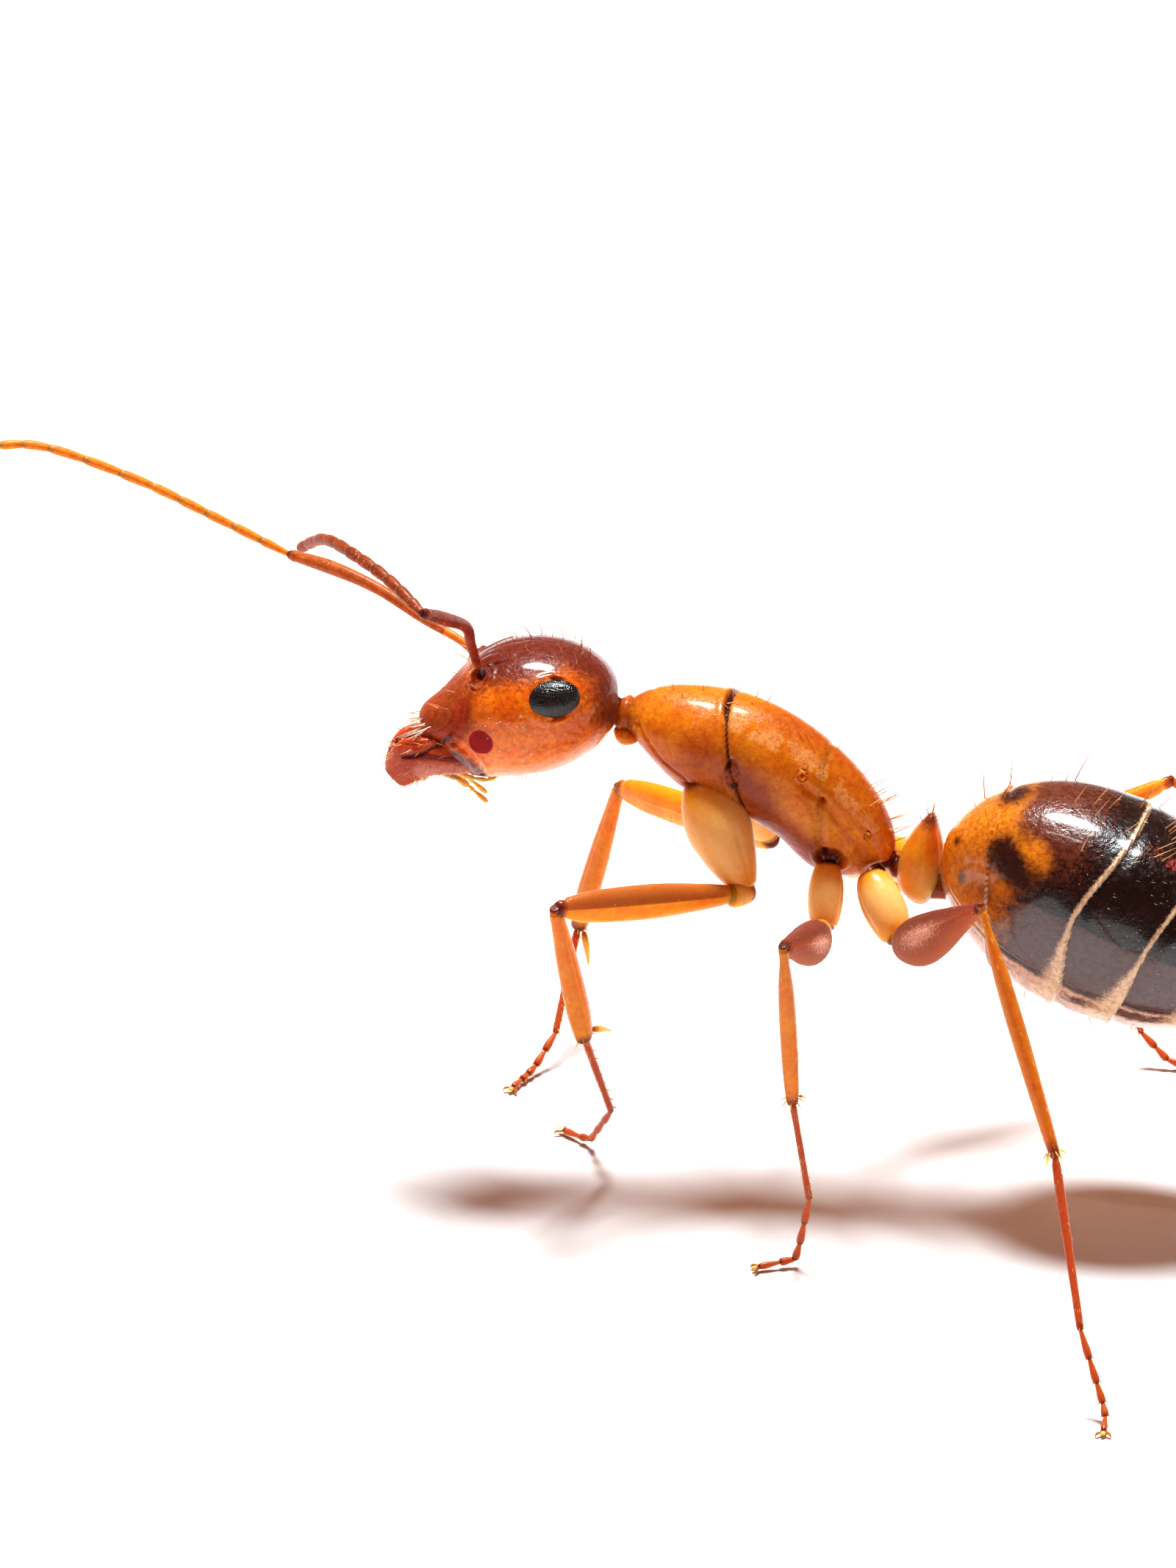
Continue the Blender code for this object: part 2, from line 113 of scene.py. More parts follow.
# Where each leg's joints stand, from the hip down to the claws.
LEGS = {
    "front_left": {"hip": (9.34, -0.50, 5.31), "trochanter": (10.03, -0.80, 4.00),
                   "knee": (8.05, -3.00, 4.61), "ankle": (8.23, -2.20, 2.39),
                   "instep": (8.36, -1.30, 0.89), "toes": ((7.93, -0.70, 0.10), (7.52, -0.45, 0.07))},
    "front_right": {"hip": (9.34, 0.50, 5.31), "trochanter": (9.95, 0.80, 3.98),
                    "knee": (7.52, 2.50, 3.57), "ankle": (6.95, 2.60, 1.43),
                    "instep": (6.92, 1.50, 0.42), "toes": ((6.74, 1.02, 0.10), (6.59, 0.55, 0.07))},
    "mid_left": {"hip": (10.99, -0.42, 4.30), "trochanter": (11.05, -0.86, 3.64),
                 "knee": (11.18, -3.60, 4.76), "ankle": (11.21, -3.20, 2.35),
                 "instep": (11.46, -3.30, 1.03), "toes": ((11.28, -3.24, 0.12), (10.84, -3.48, 0.07))},
    "mid_right": {"hip": (10.99, 0.42, 4.30), "trochanter": (11.05, 0.86, 3.64),
                  "knee": (13.10, 2.90, 3.30), "ankle": (13.99, 3.00, 1.70),
                  "instep": (14.30, 3.30, 0.45), "toes": ((14.72, 3.20, 0.10), (15.16, 3.30, 0.07))},
    "hind_left": {"hip": (11.56, -0.40, 4.20), "trochanter": (12.05, -0.92, 3.64),
                  "knee": (13.77, -3.70, 5.70), "ankle": (14.96, -4.60, 2.78),
                  "instep": (15.61, -5.90, 1.03), "toes": ((16.05, -6.35, 0.14), (16.10, -6.70, 0.07))},
    "hind_right": {"hip": (11.56, 0.40, 4.20), "trochanter": (12.05, 0.92, 3.64),
                   "knee": (14.60, 3.60, 4.00), "ankle": (16.60, 5.00, 1.90),
                   "instep": (17.60, 5.70, 0.50), "toes": ((18.25, 5.98, 0.10), (18.70, 6.10, 0.07))},
}


# ---------------------------------------------------------------- modelling tools

def read(values, shares):
    """Read a smooth curve through evenly spaced values at each share of its length."""
    values = np.asarray(values, float)
    values = values[:, None] if values.ndim == 1 else values
    shares = np.atleast_1d(np.asarray(shares, float))
    last = len(values) - 1
    spot = np.clip(shares, 0.0, 1.0) * last
    first = np.minimum(spot.astype(int), last - 1)
    step = (spot - first)[:, None]
    padded = np.vstack((2 * values[0] - values[1], values, 2 * values[-1] - values[-2]))
    before, low, high, after = (padded[first + i] for i in range(4))
    return (low + (high - before) * 0.5 * step
            + (before - 2.5 * low + 2 * high - 0.5 * after) * step ** 2
            + (1.5 * (low - high) + 0.5 * (after - before)) * step ** 3)


def unit(vectors):
    return vectors / np.maximum(np.linalg.norm(vectors, axis=-1, keepdims=True), 1e-12)


def points_of(piece):
    spots = np.empty(len(piece.data.vertices) * 3)
    piece.data.vertices.foreach_get("co", spots)
    return spots.reshape(-1, 3)


def normals_of(piece):
    ways = np.empty(len(piece.data.vertices) * 3)
    piece.data.vertices.foreach_get("normal", ways)
    return ways.reshape(-1, 3)


def move_to(piece, spots):
    piece.data.vertices.foreach_set("co", np.asarray(spots, float).ravel())
    piece.data.update()


def place_of(piece):
    """Return each point's share along its piece, and how far it is to the side and up."""
    held = piece.data.attributes["place"]
    values = np.empty(len(piece.data.vertices) * 3)
    held.data.foreach_get("vector", values)
    return values.reshape(-1, 3)


def mark(piece, name, values):
    """Store a number from 0 to 1 at each point, or the same at all, for the materials to read."""
    held = piece.data.attributes.new(name, "FLOAT", "POINT")
    held.data.foreach_set("value", np.full(len(piece.data.vertices), np.clip(values, 0.0, 1.0), float))


def pick_only(*pieces):
    """Select these pieces alone, and make the first one active."""
    bpy.ops.object.select_all(action="DESELECT")
    for piece in pieces:
        piece.select_set(True)
    bpy.context.view_layer.objects.active = pieces[0]


def add_globe(name, sides, rings):
    """Add a round globe, one unit in radius, to be given its shape."""
    bpy.ops.mesh.primitive_uv_sphere_add(segments=sides, ring_count=rings, radius=1.0)
    piece = bpy.context.object
    piece.name = name
    return piece


def swell(name, line, widths, tops, bottoms=None, sides=32, rings=24, blunt=1.0, square=2.0, up=UP):
    """Bend a globe along a centre line and give it its own half-sizes at every step."""
    piece = add_globe(name, sides, rings)
    globe = points_of(piece)
    share = (1.0 + globe[:, 2]) / 2.0
    girth = np.hypot(globe[:, 0], globe[:, 1])
    safe = np.maximum(girth, 1e-6)
    side, height = globe[:, 0] / safe, globe[:, 1] / safe
    corner = (np.abs(side) ** square + np.abs(height) ** square + 1e-12) ** (-1.0 / square)
    spread = np.where(girth > 1e-5, girth ** blunt, 0.0)
    side, height = side * corner, height * corner
    nudge = 0.01
    heading = unit(read(line, share + nudge) - read(line, share - nudge))
    across = unit(np.cross(np.asarray(up, float), heading))
    upward = np.cross(heading, across)
    under = read(tops if bottoms is None else bottoms, share)[:, 0]
    reach = np.where(height > 0, read(tops, share)[:, 0], under)
    spots = (read(line, share) + across * (side * spread * read(widths, share)[:, 0])[:, None]
             + upward * (height * spread * reach)[:, None])
    move_to(piece, spots)
    held = piece.data.attributes.new("place", "FLOAT_VECTOR", "POINT")
    held.data.foreach_set("vector", np.stack((share, side, height), 1).ravel())
    return piece


def climb(values, start, span, least=0.0):
    """Return the least up to a start, climbing to 1 over a span."""
    return np.clip((values - start) / span, least, 1.0)


def drop(values, end, span, least=0.0):
    """Return 1, dropping to the least over a span that stops at an end."""
    return np.clip((end - values) / span, least, 1.0)


def fade(distance, reach):
    """Return 1 at the middle, falling smoothly to 0 at the reach."""
    ratio = np.clip(1.0 - distance / reach, 0.0, 1.0)
    return ratio * ratio * (3.0 - 2.0 * ratio)


def around(values, middle, reach):
    """Return 1 where the values meet a middle, falling smoothly to 0 on both sides."""
    return fade(np.abs(values - middle), reach)


def away_from(spots, spot):
    return np.linalg.norm(spots - np.asarray(spot), axis=1)


def distance_to(spots, route):
    """Return each point's distance to the nearest stretch of a route."""
    route = np.asarray(route, float)
    best = np.full(len(spots), 1e9)
    for start, end in zip(route[:-1], route[1:]):
        run = end - start
        share = np.clip((spots - start) @ run / max(run @ run, 1e-12), 0.0, 1.0)
        best = np.minimum(best, np.linalg.norm(spots - start - share[:, None] * run, axis=1))
    return best


def push(piece, amount, way=None):
    """Move each point out of the surface by its own amount."""
    ways = normals_of(piece) if way is None else np.asarray(way, float)
    move_to(piece, points_of(piece) + ways * np.asarray(amount)[:, None])


def dent(piece, spot, reach, depth):
    push(piece, -depth * fade(away_from(points_of(piece), spot), reach))


def score(piece, route, reach, depth):
    push(piece, -depth * fade(distance_to(points_of(piece), route), reach))


def join(name, pieces):
    """Join pieces into one and give it a name."""
    pick_only(*pieces)
    bpy.ops.object.join()
    pieces[0].name = name
    return pieces[0]


def turn_with_head(piece):
    """Carry a piece from the head's own frame to where the head is held."""
    piece.data.transform(Matrix.Translation(HEAD_JOINT) @ HEAD_TURN.to_4x4())
    piece.data.update()


def on_head(spot):
    return HEAD_JOINT + HEAD_TURN @ Vector(spot)


def part_off(piece, spot, outward):
    """Cut a piece along a plane, keep the side behind it and close the cut."""
    pick_only(piece)
    bpy.ops.object.mode_set(mode="EDIT")
    bpy.ops.mesh.select_all(action="SELECT")
    bpy.ops.mesh.bisect(plane_co=spot, plane_no=outward, use_fill=True, clear_outer=True, threshold=1e-5)
    bpy.ops.object.mode_set(mode="OBJECT")


def copy_of(piece, name):
    twin = piece.copy()
    twin.data = piece.data.copy()
    twin.name = name
    bpy.context.collection.objects.link(twin)
    return twin


def find_shift():
    """Work out how far the ant's plan lies from the frame, from the left eye's box."""
    low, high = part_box("eye_left")
    return (Vector(low) + Vector(high)) / 2 - on_head(EYE_PLACE) * MM


SHIFT = find_shift()


def set_down(piece, finish, slot, *nodes, angle=40.0):
    """Bring a finished piece to real size on the frame and dress it."""
    pick_only(piece)
    piece.data.transform(Matrix.Translation(SHIFT) @ Matrix.Scale(MM, 4))
    piece.data.materials.clear()
    piece.data.materials.append(finish)
    bpy.ops.object.shade_smooth_by_angle(angle=math.radians(angle))
    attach(piece, "root")
    if nodes:
        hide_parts(*nodes)
    return piece


# ---------------------------------------------------------------- floor, light and camera

def hang_lamp(name, aim, way, watts, colour):
    """Hang a flat lamp over the ant, facing it."""
    lamp = bpy.data.lights.new(name, "AREA")
    lamp.energy, lamp.color = watts, colour
    holder = bpy.data.objects.new(name, lamp)
    bpy.context.collection.objects.link(holder)
    way = Vector(way).normalized()
    holder.location = aim + way * LAMP_FAR
    along = (Vector((1.0, 0.0, 0.0)) - way * way.x).normalized()
    holder.rotation_euler = Matrix((along, way.cross(along), way)).transposed().to_euler()
    return lamp


def build_studio():
    """Lay the pale floor, hang the lamps and place the camera."""
    bpy.ops.mesh.primitive_plane_add(size=FLOOR_WIDTH)
    floor = bpy.context.object
    floor.name = "studio_floor"
    bpy.ops.object.mode_set(mode="EDIT")
    bpy.ops.mesh.subdivide(number_cuts=8)
    bpy.ops.object.mode_set(mode="OBJECT")
    floor.data.materials.append(floor_finish())

    aim = Vector(FRAME_CENTRE) * MM + SHIFT
    lamp = hang_lamp("studio_lamp", aim, LAMP_WAY, LAMP_WATTS, LAMP_COLOUR)
    lamp.shape = "ELLIPSE"
    lamp.size, lamp.size_y = LAMP_LONG, LAMP_WIDE
    strip = hang_lamp("studio_strip", aim, STRIP_WAY, STRIP_WATTS, STRIP_COLOUR)
    strip.shape = "RECTANGLE"
    strip.size, strip.size_y = STRIP_LONG, STRIP_WIDE

    world = bpy.data.worlds.new("studio_air")
    bpy.context.scene.world = world
    world.use_nodes = True
    air = world.node_tree.nodes["Background"]
    air.inputs["Color"].default_value = (*AIR_COLOUR, 1.0)
    air.inputs["Strength"].default_value = AIR_STRENGTH

    lens = bpy.data.cameras.new("studio_camera")
    lens.sensor_width = SENSOR
    lens.lens = SENSOR * CAMERA_FAR / FRAME_HEIGHT
    lens.clip_start, lens.clip_end = 0.01, 5.0
    camera = bpy.data.objects.new("studio_camera", lens)
    bpy.context.collection.objects.link(camera)
    turn, rise = math.radians(CAMERA_TURN), math.radians(CAMERA_RISE)
    back = Vector((math.sin(turn) * math.cos(rise), -math.cos(turn) * math.cos(rise), math.sin(rise)))
    right = Vector((math.cos(turn), math.sin(turn), 0.0))
    above = back.cross(right)
    pose = Matrix((right, above, back)).transposed().to_4x4()
    pose.translation = aim + back * CAMERA_FAR * MM
    camera.matrix_world = pose
    bpy.context.scene.camera = camera
    bpy.context.scene.view_settings.view_transform = "Standard"
    bpy.context.scene.view_settings.look = "Medium High Contrast"


# ---------------------------------------------------------------- finishes

def feed(tree, socket, value):
    """Link a socket, or set the value that it holds."""
    if isinstance(value, bpy.types.NodeSocket):
        tree.links.new(value, socket)
    elif socket.type == "RGBA":
        socket.default_value = (*value, 1.0)
    else:
        socket.default_value = value


def node(tree, kind, inputs, **settings):
    """Add a shader node with its settings and inputs."""
    made = tree.nodes.new("ShaderNode" + kind)
    for key, value in settings.items():
        setattr(made, key, value)
    for key, value in inputs.items():
        feed(tree, made.inputs[key], value)
    return made


def maths(tree, operation, first, second=0.0):
    return node(tree, "Math", {0: first, 1: second}, operation=operation).outputs[0]


def stretch(tree, value, low, high, new_low=0.0, new_high=1.0):
    """Bring a value from one range to another, eased at both ends."""
    made = node(tree, "MapRange", {"Value": value, "From Min": low, "From Max": high,
                                   "To Min": new_low, "To Max": new_high}, interpolation_type="SMOOTHSTEP")
    return made.outputs["Result"]


def blend(tree, share, first, second):
    """Mix two colours by a share."""
    made = tree.nodes.new("ShaderNodeMix")
    made.data_type = "RGBA"
    sockets = {socket.identifier: socket for socket in made.inputs}
    feed(tree, sockets["Factor_Float"], share)
    feed(tree, sockets["A_Color"], first)
    feed(tree, sockets["B_Color"], second)
    return next(socket for socket in made.outputs if socket.identifier == "Result_Color")


def new_effect(name, inputs, output):
    """Start a shader node group that several finishes share."""
    tree = bpy.data.node_groups.new(name, "ShaderNodeTree")
    for label, value in inputs.items():
        kind = "NodeSocketVector" if value is None else "NodeSocketFloat"
        socket = tree.interface.new_socket(name=label, in_out="INPUT", socket_type=kind)
        if value is not None:
            socket.default_value = value
    tree.interface.new_socket(name=output, in_out="OUTPUT", socket_type="NodeSocketFloat")
    start = tree.nodes.new("NodeGroupInput")
    end = tree.nodes.new("NodeGroupOutput")
    return tree, start.outputs, end.inputs


def clouds(tree, place, size, detail=3.0):
    """Soft random clouds, each about one size across."""
    scale = maths(tree, "DIVIDE", 1.0, size)
    made = node(tree, "TexNoise", {"Vector": place, "Scale": scale, "Detail": detail, "Roughness": 0.6})
    return made.outputs["Fac"]


def make_effects():
    """Build the effects that the ant's finishes share."""
    effects = {}
    tree, start, end = new_effect("mottle", {"Place": None, "Size": 0.3, "Least": 0.4, "Most": 0.6}, "Mask")
    cloud = clouds(tree, start["Place"], start["Size"])
    feed(tree, end["Mask"], stretch(tree, cloud, start["Least"], start["Most"]))
    effects["mottle"] = tree

    tree, start, end = new_effect("ragged edge", {"Place": None, "Mask": 0.0, "Size": 0.1, "Raggedness": 0.4,
                                                  "Softness": 0.2}, "Mask")
    cloud = maths(tree, "SUBTRACT", clouds(tree, start["Place"], start["Size"], 5.0), 0.5)
    rough = maths(tree, "ADD", start["Mask"], maths(tree, "MULTIPLY", cloud, start["Raggedness"]))
    low = maths(tree, "SUBTRACT", 0.5, start["Softness"])
    high = maths(tree, "ADD", 0.5, start["Softness"])
    feed(tree, end["Mask"], stretch(tree, rough, low, high))
    effects["ragged edge"] = tree

    tree, start, end = new_effect("specks", {"Place": None, "Spacing": 0.05, "Radius": 0.3, "Share": 0.5},
                                  "Mask")
    scale = maths(tree, "DIVIDE", 1.0, start["Spacing"])
    cells = node(tree, "TexVoronoi", {"Vector": start["Place"], "Scale": scale})
    half = maths(tree, "MULTIPLY", start["Radius"], 0.5)
    dots = stretch(tree, cells.outputs["Distance"], start["Radius"], half)
    luck = node(tree, "SeparateColor", {"Color": cells.outputs["Color"]}).outputs["Red"]
    kept = maths(tree, "LESS_THAN", luck, start["Share"])
    feed(tree, end["Mask"], maths(tree, "MULTIPLY", dots, kept))
    effects["specks"] = tree

    tree, start, end = new_effect("shell grain", {"Place": None, "Net": 0.035, "Pits": 0.15, "Waves": 0.3,
                                                  "Ripple": 1.0}, "Height")
    scale = maths(tree, "DIVIDE", 1.0, start["Net"])
    net = node(tree, "TexVoronoi", {"Vector": start["Place"], "Scale": scale}, feature="DISTANCE_TO_EDGE")
    cells = stretch(tree, net.outputs["Distance"], 0.0, 0.25)
    scale = maths(tree, "DIVIDE", 1.0, start["Pits"])
    pits = node(tree, "TexVoronoi", {"Vector": start["Place"], "Scale": scale})
    holes = stretch(tree, pits.outputs["Distance"], 0.06, 0.16)
    waves = clouds(tree, start["Place"], start["Waves"], 2.0)
    height = maths(tree, "ADD", maths(tree, "MULTIPLY", cells, 0.25), maths(tree, "MULTIPLY", holes, 0.55))
    height = maths(tree, "ADD", height, maths(tree, "MULTIPLY", waves, 1.6))
    ripple = clouds(tree, start["Place"], 0.09, 2.0)
    feed(tree, end["Height"], maths(tree, "ADD", height, maths(tree, "MULTIPLY", ripple, start["Ripple"])))
    effects["shell grain"] = tree
    return effects


def start_finish(name):
    """Start a finish, with the place on the ant in millimetres."""
    finish = bpy.data.materials.new(name)
    finish.use_nodes = True
    tree = finish.node_tree
    shader = tree.nodes["Principled BSDF"]
    coords = tree.nodes.new("ShaderNodeTexCoord")
    place = node(tree, "Mapping", {"Vector": coords.outputs["Object"], "Scale": (1 / MM, 1 / MM, 1 / MM)})
    return finish, tree, shader, place.outputs["Vector"]


def effect(tree, name, **inputs):
    """Place a shared effect in a finish, with its own values."""
    made = tree.nodes.new("ShaderNodeGroup")
    made.node_tree = EFFECTS[name]
    for key, value in inputs.items():
        feed(tree, made.inputs[key], value)
    return made.outputs[0]


def zone(tree, place, name, size, raggedness, softness):
    """Read a zone that a piece is marked with, and fray its edge."""
    held = node(tree, "Attribute", {}, attribute_name=name)
    return effect(tree, "ragged edge", Place=place, Mask=held.outputs["Fac"], Size=size,
                  Raggedness=raggedness, Softness=softness)


def set_values(shader, **values):
    """Set the shader's inputs that are the same all over a finish."""
    for key, value in values.items():
        shader.inputs[key.replace("_", " ")].default_value = value


def shell_finish(name, base, shade, zones, rough=(0.26, 0.40), coat=0.25, scatter=0.25,
                 net=0.035, grain=0.004, stipple=(1.0, 0.75, 0.45), stipple_share=0.25, gloss=0.18,
                 ripple=1.5, dull=None, deep=0.40):
    """Glossy insect shell: clouded colour, marked zones, fine stipple and a netted grain.

    Each zone is the mark it follows, its colour, the size of its frayed edge, and how ragged
    and how soft that edge is. A dull mark takes the gloss away.
    """
    finish, tree, shader, place = start_finish(name)
    cloud = effect(tree, "mottle", Place=place, Size=0.35, Least=0.35, Most=0.68)
    colour = blend(tree, cloud, base, shade)
    dots = effect(tree, "specks", Place=place, Spacing=0.03, Radius=0.5, Share=stipple_share)
    patch = effect(tree, "mottle", Place=place, Size=0.5, Least=0.45, Most=0.62)
    light = maths(tree, "MULTIPLY", maths(tree, "MULTIPLY", dots, patch), 0.35)
    colour = blend(tree, light, colour, stipple)
    for mark_name, paint, *edge in zones:
        colour = blend(tree, zone(tree, place, mark_name, *edge), colour, paint)
    # Deeper flecks and veins break up each tone.
    veins = effect(tree, "mottle", Place=place, Size=0.07, Least=0.44, Most=0.62)
    deeper = node(tree, "VectorMath", {0: colour, 1: (0.60, 0.42, 0.34)}, operation="MULTIPLY")
    colour = blend(tree, maths(tree, "MULTIPLY", veins, deep), colour, deeper.outputs["Vector"])
    feed(tree, shader.inputs["Base Color"], colour)
    wear = effect(tree, "mottle", Place=place, Size=0.12, Least=0.3, Most=0.7)
    roughness = stretch(tree, wear, 0.0, 1.0, *rough)
    if dull:
        plain = node(tree, "Attribute", {}, attribute_name=dull).outputs["Fac"]
        roughness = maths(tree, "MAXIMUM", roughness, maths(tree, "MULTIPLY", plain, 0.85))
        coat = maths(tree, "MULTIPLY", maths(tree, "SUBTRACT", 1.0, plain), coat)
    feed(tree, shader.inputs["Coat Weight"], coat)
    feed(tree, shader.inputs["Roughness"], roughness)
    height = effect(tree, "shell grain", Place=place, Net=net, Pits=net * 5.0, Waves=0.25, Ripple=ripple)
    bump = node(tree, "Bump", {"Height": height, "Strength": 1.0, "Distance": grain * MM})
    feed(tree, shader.inputs["Normal"], bump.outputs["Normal"])
    set_values(shader, Specular_IOR_Level=gloss, Coat_Roughness=0.10, Subsurface_Weight=scatter,
               Subsurface_Radius=(1.0, 0.30, 0.05), Subsurface_Scale=0.8 * MM)
    return finish


def floor_finish():
    """Smooth pale card, with a faint tooth."""
    finish, tree, shader, place = start_finish("floor_card")
    tooth = effect(tree, "mottle", Place=place, Size=0.4, Least=0.2, Most=0.8)
    tone = blend(tree, tooth, (0.885, 0.885, 0.885), (0.90, 0.90, 0.90))
    feed(tree, shader.inputs["Base Color"], tone)
    set_values(shader, Roughness=0.85, Specular_IOR_Level=0.1)
    bump = node(tree, "Bump", {"Height": tooth, "Strength": 0.3, "Distance": 0.01 * MM})
    feed(tree, shader.inputs["Normal"], bump.outputs["Normal"])
    return finish


EFFECTS = make_effects()


# ---------------------------------------------------------------- head

HEAD_WIDTHS = (0.92, 1.02, 1.05, 1.03, 0.98, 0.90, 0.84, 0.80)
HEAD_TOPS = (0.80, 0.86, 0.88, 0.88, 0.85, 0.76, 0.55, 0.34)
HEAD_BOTTOMS = (0.76, 0.80, 0.83, 0.84, 0.85, 0.87, 0.90, 0.90)
HEAD_BLUNT, HEAD_SQUARE = 0.86, 2.2
FLANK_SLOPE, FLANK_STEPS = 0.30, 10

# Routes and places on the head's left side: forward, outward and up.
SHIELD_EDGE = ((1.84, 0.30, 0.80), (2.00, 0.42, 0.66), (2.03, 0.42, 0.50), (2.10, 0.42, 0.32),
               (2.28, 0.42, 0.16), (2.46, 0.40, 0.10))
SHIELD_LIP = ((2.24, 0.44, 0.13), (2.40, 0.40, 0.06), (2.52, 0.30, 0.0))
SHIELD_HALF_WIDTH = 0.46
SHIELD_MIDDLE, SHIELD_BULGE, BULGE_WAY = (2.42, 0.42), (2.52, 0.44), (0.93, 0.0, 0.37)
KEEL = ((1.86, 0.26, 0.90), (1.66, 0.24, 1.03), (1.45, 0.30, 1.07), (1.28, 0.36, 1.08))
KEEL_GROOVE = ((1.62, 0.36, 0.98), (1.50, 0.39, 1.00), (1.36, 0.42, 1.02))
CHEEK_CORNER = ((2.22, 0.60, 0.10), (2.02, 0.70, -0.10), (1.94, 0.72, -0.34), (2.02, 0.6, -0.62))
JAW_HINGE = ((2.22, 0.62, -0.06), (2.10, 0.62, -0.20), (1.98, 0.62, -0.38), (1.86, 0.5, -0.52))
JAW_ORIFICE = (2.13, 0.6, -0.26)
RED_SPOT, RED_SPOT_RADIUS = (1.88, 0.8, 0.12), 0.168
NECK_HOLLOW = (0.02, 0.0, 0.10)
# Wrinkles: how far each one of the lower rim lies above it and how long it is, and how far
# each one before the antenna's socket lies in front of it.
RIM_WRINKLES = ((0.05, 0.20), (0.10, 0.16), (0.155, 0.12))
SOCKET_WRINKLES = (0.0, 0.055, 0.11)


def on_flank(piece, spots, side):
    """Lay a route onto a piece's skin, as met from its side and a little above."""
    way = unit(np.array((0.0, float(side), FLANK_SLOPE)))
    skin = points_of(piece)
    skin = skin[normals_of(piece) @ way > 0.05]
    spots = np.asarray(spots, float) * (1.0, side, 1.0)
    if len(spots) > 1:
        spots = read(spots, np.linspace(0.0, 1.0, FLANK_STEPS * (len(spots) - 1) + 1))
    found = []
    for spot in spots:
        offset = skin - spot
        offset -= (offset @ way)[:, None] * way
        found.append(skin[np.argmin((offset ** 2).sum(1))])
    return np.array(found)


def spot_on_flank(piece, spot, side):
    return on_flank(piece, (spot,), side)[0]


def eye_axes(side):
    """Return the eye's middle, and its long, short and outward directions on the head."""
    turn = Matrix.Rotation(-EYE_TILT * side, 3, "X")
    ways = [np.array(turn @ Vector(way)) for way in ((1, 0, 0), (0, 1, 0), (0, 0, 1))]
    return np.array(EYE_PLACE) * (1, side, 1), *ways


def eye_rim(side, scale):
    """Return the route round the eye, a little larger than the eye itself."""
    centre, longer, shorter, _ = eye_axes(side)
    turns = np.linspace(0.0, 2.0 * math.pi, 41)[:, None]
    return (centre + np.cos(turns) * (longer * EYE_SIZE[0] * scale)
            + np.sin(turns) * (shorter * EYE_SIZE[1] * scale))


def middle_line(sizes, first, last, count, way):
    """Return the route along the head's middle, over its top or under its throat."""
    return [(x, 0.0, HEAD_LEVEL + way * read(sizes, (x - HEAD_BACK) / (HEAD_FRONT - HEAD_BACK))[0, 0])
            for x in np.linspace(first, last, count)]


def model_head():
    """Model the head capsule with its clypeus, antenna sockets, keels and cheek corners."""
    line = [(x, 0.0, HEAD_LEVEL) for x in np.linspace(HEAD_BACK, HEAD_FRONT, 5)]
    head = swell("head_capsule", line, HEAD_WIDTHS, HEAD_TOPS, HEAD_BOTTOMS, sides=256, rings=176,
                 blunt=HEAD_BLUNT, square=HEAD_SQUARE)
    x, y, z = points_of(head).T
    # The clypeus: a bulging shield between the jaws and the antennae.
    shield = np.clip(1.0 - np.abs(y) / SHIELD_HALF_WIDTH, 0.0, 1.0) ** 0.5
    push(head, 0.020 * shield * fade(np.hypot(x - SHIELD_MIDDLE[0], z - SHIELD_MIDDLE[1]), 0.62))
    bulge = fade(np.hypot(x - SHIELD_BULGE[0], z - SHIELD_BULGE[1]), 0.34)
    push(head, 0.062 * np.clip(shield * 1.3, 0, 1) * bulge, BULGE_WAY)
    for side in SIDES.values():
        # The groove round the clypeus, with a low rim outside it.
        edge = on_flank(head, SHIELD_EDGE, side)
        score(head, edge, 0.045, 0.010)
        push(head, 0.006 * around(distance_to(points_of(head), edge), 0.065, 0.05))
        for lift, span in RIM_WRINKLES:
            fold = ((2.50 - span * 0.2, 0.34, 0.04 + lift), (2.38, 0.40, 0.08 + lift * 1.1),
                    (2.26, 0.42, 0.14 + lift), (2.16, 0.42, 0.24 + lift))
            score(head, on_flank(head, fold, side), 0.020, 0.010)
        for lead in SOCKET_WRINKLES:
            fold = ((1.94 + lead, 0.30, 0.84 - lead * 0.6), (1.86 + lead, 0.40, 0.72 - lead * 0.5),
                    (1.74 + lead, 0.48, 0.66 - lead * 0.7))
            score(head, on_flank(head, fold, side), 0.022, 0.014)
        # The cheek's front corner, over the hinge of the jaw.
        corner = on_flank(head, CHEEK_CORNER, side)
        score(head, corner, 0.07, 0.035)
        push(head, 0.016 * around(distance_to(points_of(head), corner), 0.10, 0.07))
        # The antenna's socket: a pit inside a raised ring.
        away = away_from(points_of(head), spot_on_flank(head, tuple(SOCKET), side))
        push(head, 0.055 * around(away, 0.125, 0.045) + 0.018 * around(away, 0.20, 0.04)
             - 0.10 * fade(away, 0.10))
        # The frontal keel: low, over the socket, with a groove under it.
        keel = on_flank(head, KEEL, side)
        push(head, 0.014 * fade(distance_to(points_of(head), keel), 0.06), UP)
        score(head, on_flank(head, KEEL_GROOVE, side), 0.035, 0.018)
        # A neat groove and a fine raised rim round the eye.
        gap = distance_to(points_of(head), eye_rim(side, 1.02))
        push(head, 0.018 * around(gap, 0.05, 0.05) - 0.03 * fade(gap, 0.035))
    # The faint line down the middle of the brow, and the seam under the throat.
    score(head, middle_line(HEAD_TOPS, 0.9, 1.7, 20, 1), 0.035, 0.010)
    score(head, middle_line(HEAD_BOTTOMS, 0.2, 2.2, 30, -1), 0.06, 0.025)
    dent(head, NECK_HOLLOW, 0.34, 0.09)
    mark_head(head)
    turn_with_head(head)
    return head


